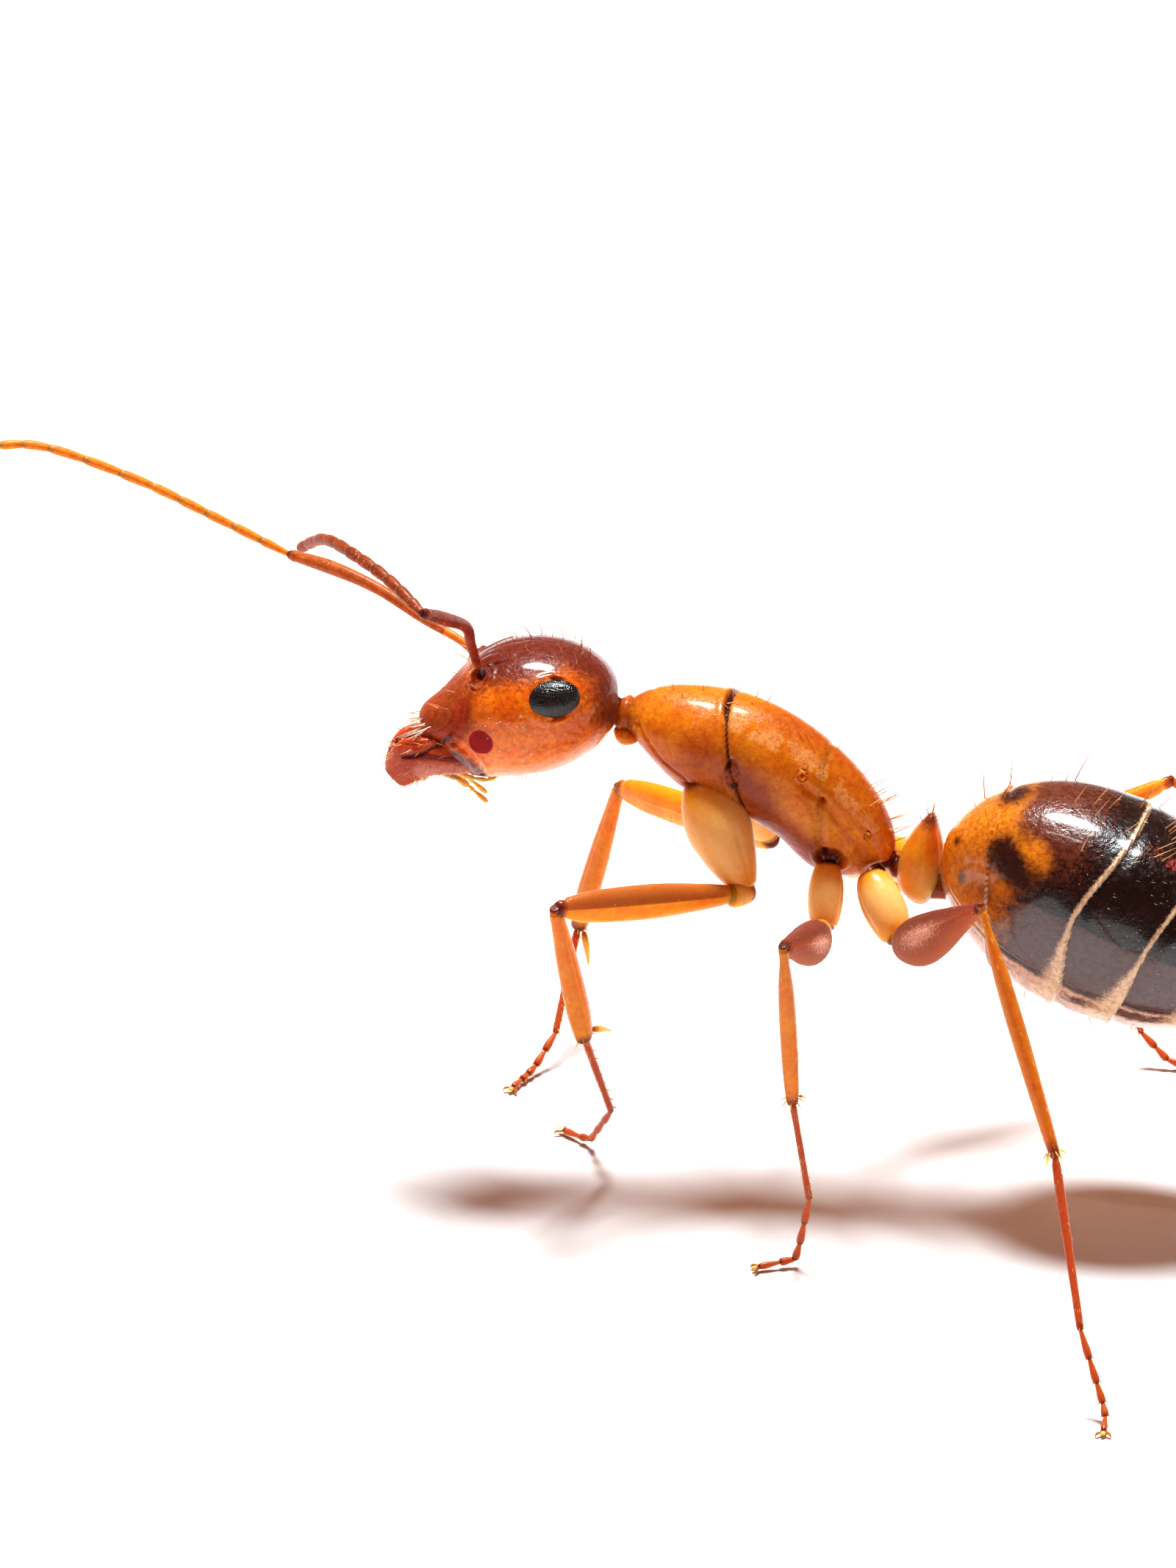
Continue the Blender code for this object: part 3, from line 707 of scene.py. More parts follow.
def mark_head(head):
    """Mark the head's dark, brown, matt, red, smoky and rusty zones, its painted bounce light below and
    painted shade in grooves.
    """
    spots = points_of(head)
    x, _, z = spots.T
    top = climb(z, 0.62, 0.34) * drop(x, 2.2, 0.5, 0.25)
    rear = drop(x, 0.62, 0.42) * climb(z, -0.50, 0.6, 0.30)
    mark(head, "dark", top * 0.9 + rear * 0.9)
    # Painted light: the underside is paler, as if lit by light bounced up from the floor.
    mark(head, "painted_floor_glow", drop(z, 0.02, 0.30) * climb(x, 0.25, 0.4) * drop(x, 2.1, 0.2))
    front = climb(x, 1.72, 0.35) * climb(z, 0.02, 0.3)
    mark(head, "brown", front * 0.9)
    red, smoke, fold, rust = (np.zeros(len(spots)) for _ in range(4))
    for side in SIDES.values():
        away = away_from(spots, spot_on_flank(head, RED_SPOT, side))
        red += np.clip((RED_SPOT_RADIUS - away) / 0.03 + 0.5, 0, 1)
        smoke += fade(distance_to(spots, on_flank(head, JAW_HINGE, side)), 0.17)
        # Painted shade: the fold mark darkens the jaw's hinge hole, the grooves round the clypeus, under the
        # keel and round the eye, the lip and the antenna's socket pit.
        fold += 0.9 * fade(away_from(spots, spot_on_flank(head, JAW_ORIFICE, side)), 0.10)
        edge = on_flank(head, SHIELD_EDGE, side)
        groove = distance_to(spots, on_flank(head, KEEL_GROOVE, side))
        socket = away_from(spots, spot_on_flank(head, tuple(SOCKET), side))
        lip = distance_to(spots, on_flank(head, SHIELD_LIP, side))
        fold += 0.34 * fade(distance_to(spots, edge), 0.05) + 0.9 * fade(groove, 0.04)
        fold += 1.1 * fade(socket, 0.10) + 0.5 * around(socket, 0.17, 0.03) + 0.75 * fade(lip, 0.06)
        fold += 0.8 * fade(distance_to(spots, eye_rim(side, 1.06)), 0.035)
        rust += 0.9 * fade(distance_to(spots, edge[20:]), 0.22)
        rust += 0.7 * fade(groove, 0.22) + 0.8 * fade(lip, 0.26)
    mark(head, "red", red)
    mark(head, "matt", np.maximum(front * 0.85, red * 0.8))
    mark(head, "smoke", smoke * 1.3)
    mark(head, "fold", fold)
    mark(head, "rust", rust)


def model_eye(name, side):
    """Model a compound eye: a low dome, set in the head."""
    centre, longer, shorter, out = eye_axes(side)
    eye = add_globe("eye_" + name + "_dome", 128, 96)
    globe = points_of(eye)
    spots = (centre + globe[:, :1] * longer * EYE_SIZE[0] + globe[:, 1:2] * shorter * EYE_SIZE[1]
             + globe[:, 2:] * out * EYE_SIZE[2])
    move_to(eye, spots)
    turn_with_head(eye)
    return eye


def eye_finish():
    """Near-black dome with a fine net of facets that catches the light."""
    finish, tree, shader, place = start_finish("eye_facets")
    cells = node(tree, "TexVoronoi", {"Vector": place, "Scale": 34.0, "Randomness": 0.35},
                 feature="DISTANCE_TO_EDGE")
    dome = stretch(tree, cells.outputs["Distance"], 0.0, 0.3)
    haze = effect(tree, "mottle", Place=place, Size=0.12, Least=0.3, Most=0.7)
    colour = blend(tree, dome, (0.004, 0.004, 0.005), (0.020, 0.021, 0.024))
    colour = blend(tree, maths(tree, "MULTIPLY", haze, 0.3), colour, (0.02, 0.018, 0.02))
    feed(tree, shader.inputs["Base Color"], colour)
    feed(tree, shader.inputs["Roughness"], stretch(tree, haze, 0.0, 1.0, 0.19, 0.26))
    bump = node(tree, "Bump", {"Height": dome, "Strength": 1.0, "Distance": 0.0025 * MM})
    feed(tree, shader.inputs["Normal"], bump.outputs["Normal"])
    set_values(shader, Specular_IOR_Level=0.7)
    return finish


def head_finish():
    return shell_finish(
        "head_shell", (0.92, 0.225, 0.008), (0.82, 0.155, 0.005),
        zones=(("brown", (0.36, 0.060, 0.008), 0.12, 0.40, 0.32),
               # Painted light bounced from the floor: the underside paler.
               ("painted_floor_glow", (0.92, 0.27, 0.055), 0.12, 0.25, 0.32),
               ("rust", (0.42, 0.045, 0.006), 0.08, 0.60, 0.36),
               ("dark", (0.185, 0.030, 0.016), 0.06, 0.90, 0.40),
               ("smoke", (0.24, 0.085, 0.080), 0.06, 0.60, 0.30),
               # Painted shade in the head's grooves and pits.
               ("fold", (0.085, 0.012, 0.006), 0.05, 0.25, 0.35),
               ("red", (0.36, 0.000, 0.004), 0.03, 0.20, 0.08)),
        scatter=0.25, ripple=4.5, coat=0.6, dull="matt", deep=0.55, stipple_share=0.45)


# ---------------------------------------------------------------- trunk, waist and abdomen

def cut_plane(line, share, lean):
    """Return a point on a centre line, and the leaned direction across which plates part."""
    heading = unit(read(line, share + 0.01) - read(line, share - 0.01))[0]
    lean = math.radians(lean)
    outward = np.array((heading[0] * math.cos(lean) - heading[2] * math.sin(lean), 0.0,
                        heading[0] * math.sin(lean) + heading[2] * math.cos(lean)))
    return read(line, share)[0], outward


def near_plane(piece, plane, reach, before=0.0):
    """Return 1 on a plane, or some way before it, falling to 0 at the reach on both sides."""
    spot, outward = plane
    return fade(np.abs((points_of(piece) - (spot - outward * before)) @ outward), reach)


def split_at(piece, planes, names):
    """Part a body into plates along its planes, each closed and with its own mesh."""
    plates = []
    for number, name in enumerate(names):
        plate = copy_of(piece, name)
        if number < len(planes):
            part_off(plate, planes[number][0], planes[number][1])
        if number > 0:
            part_off(plate, planes[number - 1][0], -planes[number - 1][1])
        plates.append(plate)
    bpy.data.objects.remove(piece)
    return plates


# Routes and places on the trunk's left flank, on the ant's plan.
PROPLEURON = ((8.46, -0.30, 6.02), (8.62, -0.38, 5.84), (8.84, -0.46, 5.60), (9.20, -0.57, 5.40))
PLEURAL_CREASE = ((10.67, -0.5, 5.50), (10.80, -0.5, 5.38), (10.93, -0.5, 5.29), (11.12, -0.42, 5.02),
                  (11.30, -0.38, 4.78), (11.42, -0.36, 4.52))
PLEURAL_DROP = ((10.93, -0.5, 5.27), (10.93, -0.49, 5.0), (10.90, -0.49, 4.74), (10.94, -0.42, 4.50))
LOWER_EDGE = ((9.86, -0.68, 5.55), (10.05, -0.62, 5.36), (10.27, -0.51, 4.94), (10.55, -0.4, 4.62),
              (10.9, -0.3, 4.32))
SIDE_LOBE = (9.79, -0.68, 5.62)
ROSE_PATCH = (9.40, -0.65, 5.76)
COLLAR = (np.array((8.46, 0, 6.0)), np.array((0.95, 0.0, -0.31)))
# Each crease with its reach, its depth and the darkness of its painted shade, each pit with
# its reach and its depth, each spiracle with its size, and each leg's socket with its reach.
CREASES = ((PROPLEURON, 0.05, 0.035, 1.0), (PLEURAL_CREASE, 0.10, 0.035, 0.30),
           (PLEURAL_DROP, 0.10, 0.030, 0.45))
PITS = (((9.20, -0.57, 5.33), 0.11, 0.07), (PLEURAL_CREASE[2], 0.05, 0.05))
SPIRACLES = (((10.67, -0.50, 5.62), 0.075), ((11.50, -0.34, 4.78), 0.055))
LEG_SOCKETS = (((11.02, -0.40, 4.42), 0.20), ((11.62, -0.36, 4.22), 0.20), ((9.30, -0.5, 5.22), 0.12))
FLECK_PATCHES = 34


def flank(piece, spots, side):
    """Lay a route given for the left flank, where y is below zero, onto either side of the body."""
    return on_flank(piece, np.asarray(spots) * (1, -1, 1), side)


def away_on_flank(piece, spot, side, stretches=(1.0, 1.0, 1.0)):
    """Return each point's distance to a place of either flank, stretched along the axes."""
    return np.linalg.norm((points_of(piece) - flank(piece, (spot,), side)[0]) * stretches, axis=1)


def model_trunk():
    """Model the trunk's three plates with their sutures, pits, creases and spiracles."""
    trunk = swell("trunk", TRUNK_LINE, TRUNK_WIDTHS, TRUNK_TOPS, TRUNK_BOTTOMS,
                  sides=240, rings=208, blunt=0.8)
    planes = [cut_plane(TRUNK_LINE, share, lean) for share, lean in TRUNK_CUTS]
    front, rear = planes
    share, _, height = place_of(trunk).T
    high = climb(height, 0.1, 0.6)
    push(trunk, -0.045 * near_plane(trunk, front, 0.055))
    push(trunk, 0.015 * near_plane(trunk, front, 0.08, 0.09))
    push(trunk, -0.020 * near_plane(trunk, rear, 0.07) * high)
    push(trunk, -0.008 * near_plane(trunk, COLLAR, 0.05))
    # Painted shade: the fold mark darkens the sutures, the collar, the creases, the pits, the rings round
    # the spiracles and the side lobe, and the hollows round the legs' sockets.
    fold = 0.9 * near_plane(trunk, front, 0.040) + 0.40 * near_plane(trunk, rear, 0.035) * high
    fold += 0.65 * near_plane(trunk, front, 0.10, 0.03) * climb(height, 0.80, 0.12)
    fold += 0.25 * near_plane(trunk, COLLAR, 0.04)
    low = np.zeros(len(fold))
    for side in (-1, 1):
        for route, reach, depth, shade in CREASES:
            lane = flank(trunk, route, side)
            score(trunk, lane, reach, depth)
            fold += shade * fade(distance_to(points_of(trunk), lane), reach * 0.7)
        for spot, reach, depth in PITS:
            hole = flank(trunk, (spot,), side)[0]
            dent(trunk, hole, reach, depth)
            fold += 1.1 * fade(away_from(points_of(trunk), hole), reach * 0.9)
        for spot, size in SPIRACLES:
            away = away_on_flank(trunk, spot, side, (1.35, 1.0, 0.9))
            push(trunk, 0.045 * around(away, size * 0.55, size * 0.6) - 0.03 * fade(away, size * 0.45))
            fold += 0.9 * around(away, size, size * 0.35)
        away = away_on_flank(trunk, SIDE_LOBE, side, (1.5, 1.0, 0.65))
        push(trunk, 0.035 * fade(away, 0.11) - 0.02 * around(away, 0.12, 0.04))
        fold += 0.6 * around(away, 0.12, 0.04)
        low += fade(distance_to(points_of(trunk), flank(trunk, LOWER_EDGE, side)), 0.46)
        for spot, reach in LEG_SOCKETS:
            away = away_on_flank(trunk, spot, side)
            push(trunk, 0.060 * fade(away, reach * 0.75) - 0.045 * around(away, reach * 0.75, 0.05)
                 + 0.020 * around(away, reach * 1.2, 0.05))
            fold += 1.1 * fade(away, reach * 1.25)
    mark_trunk(trunk, share, height, fold, low)
    return split_at(trunk, planes, ("trunk_front_plate", "trunk_middle_plate", "trunk_rear_plate"))


def mark_trunk(trunk, share, height, fold, low):
    """Mark the trunk's painted shade in its folds, and where it is dark below or on top, flecked or rosy."""
    mark(trunk, "fold", fold)
    mark(trunk, "low", low + drop(height, -0.55, 0.4) * (share > 0.42))
    top = 0.85 * climb(height, 0.66, 0.34) ** 1.4 * climb(share, 0.40, 0.1, 0.45)
    mark(trunk, "top", top + 0.7 * fade(share, 0.10))
    band = around(height + 0.10 * (share > 0.72), 0.78, 0.22) * climb(share, 0.345, 0.02)
    rng = np.random.default_rng(5)
    patches = np.zeros(len(share))
    for _ in range(FLECK_PATCHES):
        middle, tall = rng.uniform(0.36, 0.96), rng.uniform(0.58, 0.88)
        gap = np.hypot((share - middle) * 4.4, (height - tall) * 0.9)
        patches = np.maximum(patches, fade(gap, rng.uniform(0.10, 0.26)))
    mark(trunk, "fleck", 0.60 * np.clip(band * 1.6, 0, 1) * np.clip(patches * 1.8, 0, 1))
    rose = 0.85 * fade(away_from(points_of(trunk), ROSE_PATCH), 0.80)
    mark(trunk, "rose", rose + 0.9 * drop(height, -0.10, 0.4) * drop(share, 0.46, 0.1))


def trunk_finish():
    return shell_finish(
        "trunk_shell", (0.95, 0.335, 0.016), (0.82, 0.215, 0.006),
        zones=(("fleck", (1.0, 0.46, 0.15), 0.030, 1.6, 0.08),
               ("rose", (0.50, 0.105, 0.012), 0.12, 0.6, 0.60),
               ("top", (0.44, 0.085, 0.008), 0.10, 0.5, 0.80),
               ("low", (0.30, 0.045, 0.012), 0.10, 0.6, 0.75),
               # Painted shade in the sutures, creases, pits and sockets.
               ("fold", (0.095, 0.012, 0.006), 0.05, 0.30, 0.35)),
        scatter=0.3, ripple=2.5)


def model_neck():
    """Model the ringed neck that carries the head, with the small lobe under it."""
    neck = swell("neck_tube", NECK_LINE, (0.22, 0.22, 0.25, 0.30), (0.20, 0.20, 0.24, 0.28),
                 sides=96, rings=96, blunt=0.2)
    share = place_of(neck)[:, 0]
    push(neck, 0.03 * around(share, 0.50, 0.13) - 0.02 * around(share, 0.30, 0.08))
    lobe = swell("neck_lobe", NECK_LOBE_LINE, (0.10, 0.14, 0.09), (0.09, 0.12, 0.09), sides=48, rings=40)
    mark(neck, "top", 0.9)
    # Painted shade: dark rings in the neck's groove near the head and behind its bulge.
    mark(neck, "fold", 1.1 * around(share, 0.26, 0.20) + 0.6 * around(share, 0.68, 0.07))
    mark(lobe, "top", 0.3)
    return join("neck_rings", [neck, lobe])


def model_waist():
    """Model the upright scale of the waist and its stalk."""
    scale = swell("waist_scale", SCALE_LINE, (0.30, 0.43, 0.46, 0.40, 0.20), (0.22, 0.34, 0.33, 0.27, 0.12),
                  (0.20, 0.24, 0.22, 0.17, 0.08), sides=96, rings=96, blunt=0.7, up=(-1.0, 0.0, 0.0))
    share = place_of(scale)[:, 0]
    push(scale, -0.02 * (around(points_of(scale)[:, 1], 0.0, 0.12) * around(share, 0.45, 0.5)))
    stalk = swell("waist_stalk", STALK_LINE, (0.22, 0.17, 0.19, 0.22, 0.17, 0.16),
                  (0.20, 0.15, 0.17, 0.2, 0.15, 0.15), sides=64, rings=72, blunt=0.45)
    along = place_of(stalk)[:, 0]
    push(stalk, -0.03 * around(along, 0.18, 0.05) + 0.02 * around(along, 0.26, 0.05))
    mark(scale, "joint", 0.72 * climb(share, 0.84, 0.12))
    mark(scale, "pale", 0.50 * around(share, 0.45, 0.4))
    mark(scale, "red", 0.55 * climb(share, 0.50, 0.40))
    mark(scale, "upper", 0.8 * drop(share, 0.22, 0.2))
    mark(stalk, "joint", 0.9 * around(along, 0.16, 0.16) + 0.9 * climb(along, 0.80, 0.1))
    mark(stalk, "red", 0.9)
    return join("waist_scale_and_stalk", [scale, stalk])


# Places on the abdomen's left flank. Each amber lobe, dark blot and red flush has its reach
# and its strength.
FIRST_PLATE = (0.165, 15.0)
SEAM_HEIGHT, SEAM_BOW = -0.46, 0.26
STALK_HOLLOW = (12.42, 0.0, 4.50)
AMBER_LOBES = (((13.86, -0.86, 5.00), 0.52, 0.75), ((13.50, -0.95, 4.60), 0.30, 0.3))
DARK_BLOTS = (((13.36, -0.15, 5.42), 0.46, 0.62), ((13.40, -0.80, 4.98), 0.46, 1.1),
              ((13.72, -0.92, 4.74), 0.46, 1.1), ((12.71, -0.42, 4.89), 0.16, 0.75),
              ((12.83, -0.69, 4.52), 0.19, 0.75), ((13.15, -0.95, 4.45), 0.30, 0.5))
RED_FLUSHES = (((15.26, -0.47, 5.02), 0.24, 0.62), ((15.52, -0.52, 4.88), 0.30, 0.62),
               ((16.3, -0.6, 4.4), 0.26, 0.5))


def blobs(spots, patches):
    """Return the patches' strengths at their places on both flanks, fading to 0 at their reaches."""
    return sum(strength * fade(away_from(spots, np.multiply(centre, (1, side, 1))), reach)
               for centre, reach, strength in patches for side in (-1, 1))


def slide_over(body, after, span, lip, sink, reach):
    """Raise the lip before a ring's rear edge and sink the skin that it slides over."""
    raised = np.where(after < 0, (1 - np.clip(-after / span, 0, 1)) ** 2, 0.0)
    push(body, lip * raised - sink * np.where(after >= 0, fade(after, reach), 0.0))


def model_abdomen():
    """Model the abdomen's five overlapping rings, with the seam between back and belly plates."""
    body = swell("abdomen", GASTER_LINE, GASTER_WIDTHS, GASTER_HEIGHTS,
                 sides=224, rings=288, blunt=0.95, square=2.45)
    planes = [cut_plane(GASTER_LINE, share, lean) for share, lean in GASTER_CUTS]
    height = place_of(body)[:, 2]
    cream = np.zeros(len(height))
    for number, (spot, outward) in enumerate(planes):
        bow = SEAM_BOW * around(height, 0.28, 0.95) * (1.0 if number == 0 else 0.4)
        after = (points_of(body) - spot) @ outward + bow
        slide_over(body, after, 0.30, 0.030, 0.030, 0.22)
        # The pale edge of each back plate widens towards the belly.
        width = 0.085 + 0.42 * drop(height, 0.12, 0.75) ** 1.3
        cream = np.maximum(cream, np.where(after < 0, np.clip(1.15 + after / width, 0, 1), 0.0))
        cream = np.maximum(cream, 0.8 * np.where(after >= 0, fade(after, 0.03), 0.0))
    # The thin edge of the small first plate, inside the first ring.
    spot, outward = cut_plane(GASTER_LINE, *FIRST_PLATE)
    after = (points_of(body) - spot) @ outward
    slide_over(body, after, 0.22, 0.020, 0.018, 0.15)
    cream = np.maximum(cream, 0.72 * around(after, -0.015, 0.06) * (height > SEAM_HEIGHT))
    push(body, -0.022 * around(height, SEAM_HEIGHT, 0.045))
    below = drop(height, SEAM_HEIGHT, 0.08)
    push(body, -0.02 * below * (1 - around(height, -1.0, 0.25)))
    dent(body, STALK_HOLLOW, 0.34, 0.05)
    mark_abdomen(body, cream, below)
    return split_at(body, planes, ["abdomen_ring_%d" % number for number in range(1, 6)])


def mark_abdomen(body, cream, below):
    """Mark where the abdomen is amber, dusky, brown, cream, pale below or flushed, and the smoky grey of a
    painted floor reflection on its lower flanks.
    """
    spots = points_of(body)
    share, _, height = place_of(body).T
    amber = np.clip((0.20 - share) / 0.20 + 0.5, 0, 1) + blobs(spots, AMBER_LOBES)
    amber -= 0.60 * climb(height, 0.66, 0.25) * climb(share, 0.17, 0.06)
    mark(body, "amber", amber * (1 - below * 0.6))
    mark(body, "dusk", np.minimum(blobs(spots, DARK_BLOTS), 0.95))
    first = drop(share, 0.44, 0.10)
    back = first * climb(height, 0.25, 0.45)
    mark(body, "brown", back * 0.62 + 0.8 * first * drop(share, 0.30, 0.12))
    # Painted reflection: a smoky grey band on the lower flanks, where the glossy black would mirror the pale
    # floor.
    smoke = around(height, -0.14, 0.46) * climb(share, 0.22, 0.05)
    mark(body, "smoke", np.clip(smoke * 2.6, 0, 1) * (1 - below))
    mark(body, "cream", np.clip(cream, 0, 1) * climb(share, 0.1, 0.1))
    mark(body, "belly", below)
    mark(body, "umber", 0.85 * below * around(height, -0.62, 0.16) * climb(share, 0.30, 0.25, 0.25))
    mark(body, "flush", blobs(spots, RED_FLUSHES))


def abdomen_finish():
    return shell_finish(
        "abdomen_shell", (0.004, 0.002, 0.002), (0.016, 0.004, 0.003),
        # Painted reflection of the pale floor on the lower flanks.
        zones=(("smoke", (0.115, 0.060, 0.055), 0.12, 0.7, 0.14),
               ("brown", (0.17, 0.040, 0.018), 0.05, 1.6, 0.30),
               ("flush", (0.45, 0.060, 0.050), 0.04, 2.0, 0.2),
               ("amber", (0.84, 0.27, 0.014), 0.12, 0.85, 0.36),
               ("dusk", (0.050, 0.010, 0.006), 0.06, 0.95, 0.36),
               ("belly", (0.72, 0.42, 0.30), 0.10, 0.7, 0.30),
               ("umber", (0.13, 0.045, 0.030), 0.14, 1.5, 0.25),
               ("cream", (0.86, 0.58, 0.36), 0.035, 1.1, 0.26)),
        rough=(0.20, 0.34), scatter=0.05, coat=0.8, stipple=(0.9, 0.6, 0.5), stipple_share=0.10,
        net=0.028, grain=0.0032, gloss=0.45, ripple=4.5, deep=0.65)


# ---------------------------------------------------------------- legs

def on_route(route, share):
    """Return a point a share of the way along a route of straight runs, by its length."""
    route = np.asarray(route, float)
    lengths = np.linalg.norm(np.diff(route, axis=0), axis=1)
    reach = share * lengths.sum()
    for start, end, length in zip(route[:-1], route[1:], lengths):
        if reach <= length:
            return start + (end - start) * reach / length
        reach -= length
    return route[-1]


def between(start, end, *shares):
    """Return points on the straight line between two places."""
    start, end = np.asarray(start, float), np.asarray(end, float)
    return [start + (end - start) * share for share in shares]


def spine(name, root, tip, radius, bow=(0.0, 0.0, 0.0), sides=8, rings=10):
    """Model one stiff spine, thick at its root, and bowed if asked."""
    root, tip = np.asarray(root, float), np.asarray(tip, float)
    middle = (root + tip) / 2 + np.asarray(bow, float)
    heading = unit(tip - root)
    up = np.eye(3)[np.argmin(np.abs(heading))]
    radii = (radius, radius * 0.95, radius * 0.55, radius * 0.12)
    return swell(name, (root, middle, tip), radii, radii, sides=sides, rings=rings, blunt=0.5, up=up)


def thorn(name, root, way, long, radius, **tones):
    """Model one stiff bristle that stands out of a limb."""
    piece = spine(name + "_thorn", root, root + way * long, radius, sides=6, rings=6)
    shade_limb(piece, **tones)
    return piece


def shade_limb(piece, joint=(0.0, 0.0), red=0.0, brown=0.0, upper=0.0, pale=0.0, reach=0.10):
    """Mark a limb's dark ends, its darker upper side and its overall tone."""
    share, _, height = place_of(piece).T
    near, far = drop(share, reach, reach) ** 0.7, climb(share, 1 - reach, reach) ** 0.7
    mark(piece, "joint", joint[0] * near + joint[1] * far)
    mark(piece, "red", red)
    mark(piece, "brown", brown)
    mark(piece, "upper", climb(height, 0.12, 0.10) * upper * climb(share, 0.0, 0.1))
    mark(piece, "pale", pale * around(share, 0.5, 0.6))


# Half-thicknesses of the legs' lengths: across, then from top to bottom.
COXAE = {"front": ((0.26, 0.36, 0.40, 0.34, 0.25, 0.17), (0.34, 0.43, 0.45, 0.37, 0.26, 0.17)),
         "mid": ((0.18, 0.22, 0.23, 0.21, 0.18), (0.19, 0.22, 0.23, 0.21, 0.19)),
         "hind": ((0.23, 0.27, 0.28, 0.25, 0.20), (0.24, 0.28, 0.29, 0.26, 0.21))}
FEMORA = {"front": ((0.12, 0.15, 0.17, 0.17, 0.15, 0.12), (0.15, 0.19, 0.23, 0.235, 0.215, 0.15)),
          "mid": ((0.19, 0.24, 0.22, 0.17, 0.12, 0.10), (0.22, 0.30, 0.27, 0.20, 0.14, 0.11)),
          "hind": ((0.23, 0.27, 0.24, 0.18, 0.12, 0.09), (0.28, 0.34, 0.30, 0.22, 0.14, 0.11))}
FEMUR_SAG = {"front": 0.0, "mid": 0.12, "hind": 0.14}
TIBIAE = {"front": ((0.09, 0.085, 0.10, 0.125, 0.14, 0.13), (0.11, 0.11, 0.13, 0.16, 0.175, 0.16)),
          "mid": ((0.085, 0.065, 0.095, 0.11, 0.11, 0.10), (0.09, 0.075, 0.105, 0.12, 0.12, 0.11)),
          "hind": ((0.075, 0.055, 0.095, 0.11, 0.10, 0.09), (0.08, 0.065, 0.11, 0.125, 0.12, 0.10))}
TARSI = {"front": (0.055, 0.050, 0.050, 0.045, 0.055), "mid": (0.055, 0.042, 0.042, 0.040, 0.055),
         "hind": (0.065, 0.062, 0.058, 0.052, 0.06)}
# Each tibia's spurs: how long and thick they are, and how far each leans to the side.
SPURS = {"front": (0.55, 0.050, (0.0,)), "mid": (0.26, 0.022, (0.15, -0.25)),
         "hind": (0.30, 0.022, (0.15, -0.25))}
TIBIA_RED = {"front": 0.40, "mid": 0.40, "hind": 0.46}
TIBIA_THORNS = {"front": 3, "mid": 7, "hind": 7}
CUP_LONG = 0.30
CUP_WIDTHS, CUP_HEIGHTS = (0.14, 0.16, 0.16, 0.15), (0.15, 0.17, 0.18, 0.17)
TOE_STOPS = (0.0, 0.26, 0.48, 0.66, 0.80, 1.0)


def model_coxa(name, kind, spots, out):
    """Model a coxa with a shallow furrow and a ring before its far end."""
    line = between(spots["hip"], spots["trochanter"], -0.08, 0.2, 0.5, 0.8, 1.02)
    piece = swell(name, line, *COXAE[kind], sides=96, rings=96, blunt=0.42 if kind == "front" else 0.30,
                  up=out)
    share, _, height = place_of(piece).T
    push(piece, -0.018 * around(height, 0.25, 0.2) * around(share, 0.5, 0.45))
    push(piece, -0.02 * around(share, 0.93, 0.04))
    shade_limb(piece, joint=(0.9, 0.9), pale=0.9, reach=0.08)
    return piece


def model_femur(name, kind, spots, left):
    """Model a femur with its ridge, and the small cup-shaped trochanter that it hinges on."""
    start, knee = spots["trochanter"], spots["knee"]
    cup = CUP_LONG / np.linalg.norm(np.subtract(knee, start))
    line = np.array(between(start, knee, cup * 0.75, 0.3, 0.55, 0.8, 1.0))
    line[:, 2] -= FEMUR_SAG[kind] * np.array((0.7, 1.0, 0.7, 0.25, 0.0))
    thigh = swell(name, line, *FEMORA[kind], sides=96, rings=128, blunt=0.22)
    share, _, height = place_of(thigh).T
    push(thigh, 0.012 * (around(height, 0.12, 0.10) * around(share, 0.5, 0.46)))
    push(thigh, -0.025 * around(height, -1.0, 0.3) * climb(share, 0.82, 0.1))
    push(thigh, -0.018 * around(share, 0.945, 0.03))
    # The middle and hind thighs of the left side are brown, with a pale bloom and a dark top.
    brown = left and kind != "front"
    mark(thigh, "bloom", brown * 0.70 * around(height, 0.05, 0.95) * around(share, 0.4, 0.45))
    mark(thigh, "umber", brown * 0.85 * climb(height, 0.10, 0.60))
    upper = 0.9 if left and not brown else 0.35
    shade_limb(thigh, joint=(0.45, 0.95), brown=0.85 * brown, upper=upper, reach=0.07)
    slim = 1.0 if kind == "front" else 0.78
    small = swell(name + "_cup", between(start, knee, -0.03, cup * 0.3, cup * 0.7, cup * 1.05),
                  np.multiply(CUP_WIDTHS, slim), np.multiply(CUP_HEIGHTS, slim),
                  sides=64, rings=48, blunt=0.4)
    push(small, -0.02 * around(place_of(small)[:, 0], 0.86, 0.05))
    shade_limb(small, joint=(1.0, 0.5), pale=0.6, brown=0.3 * brown, reach=0.25)
    return join(name, [thigh, small])


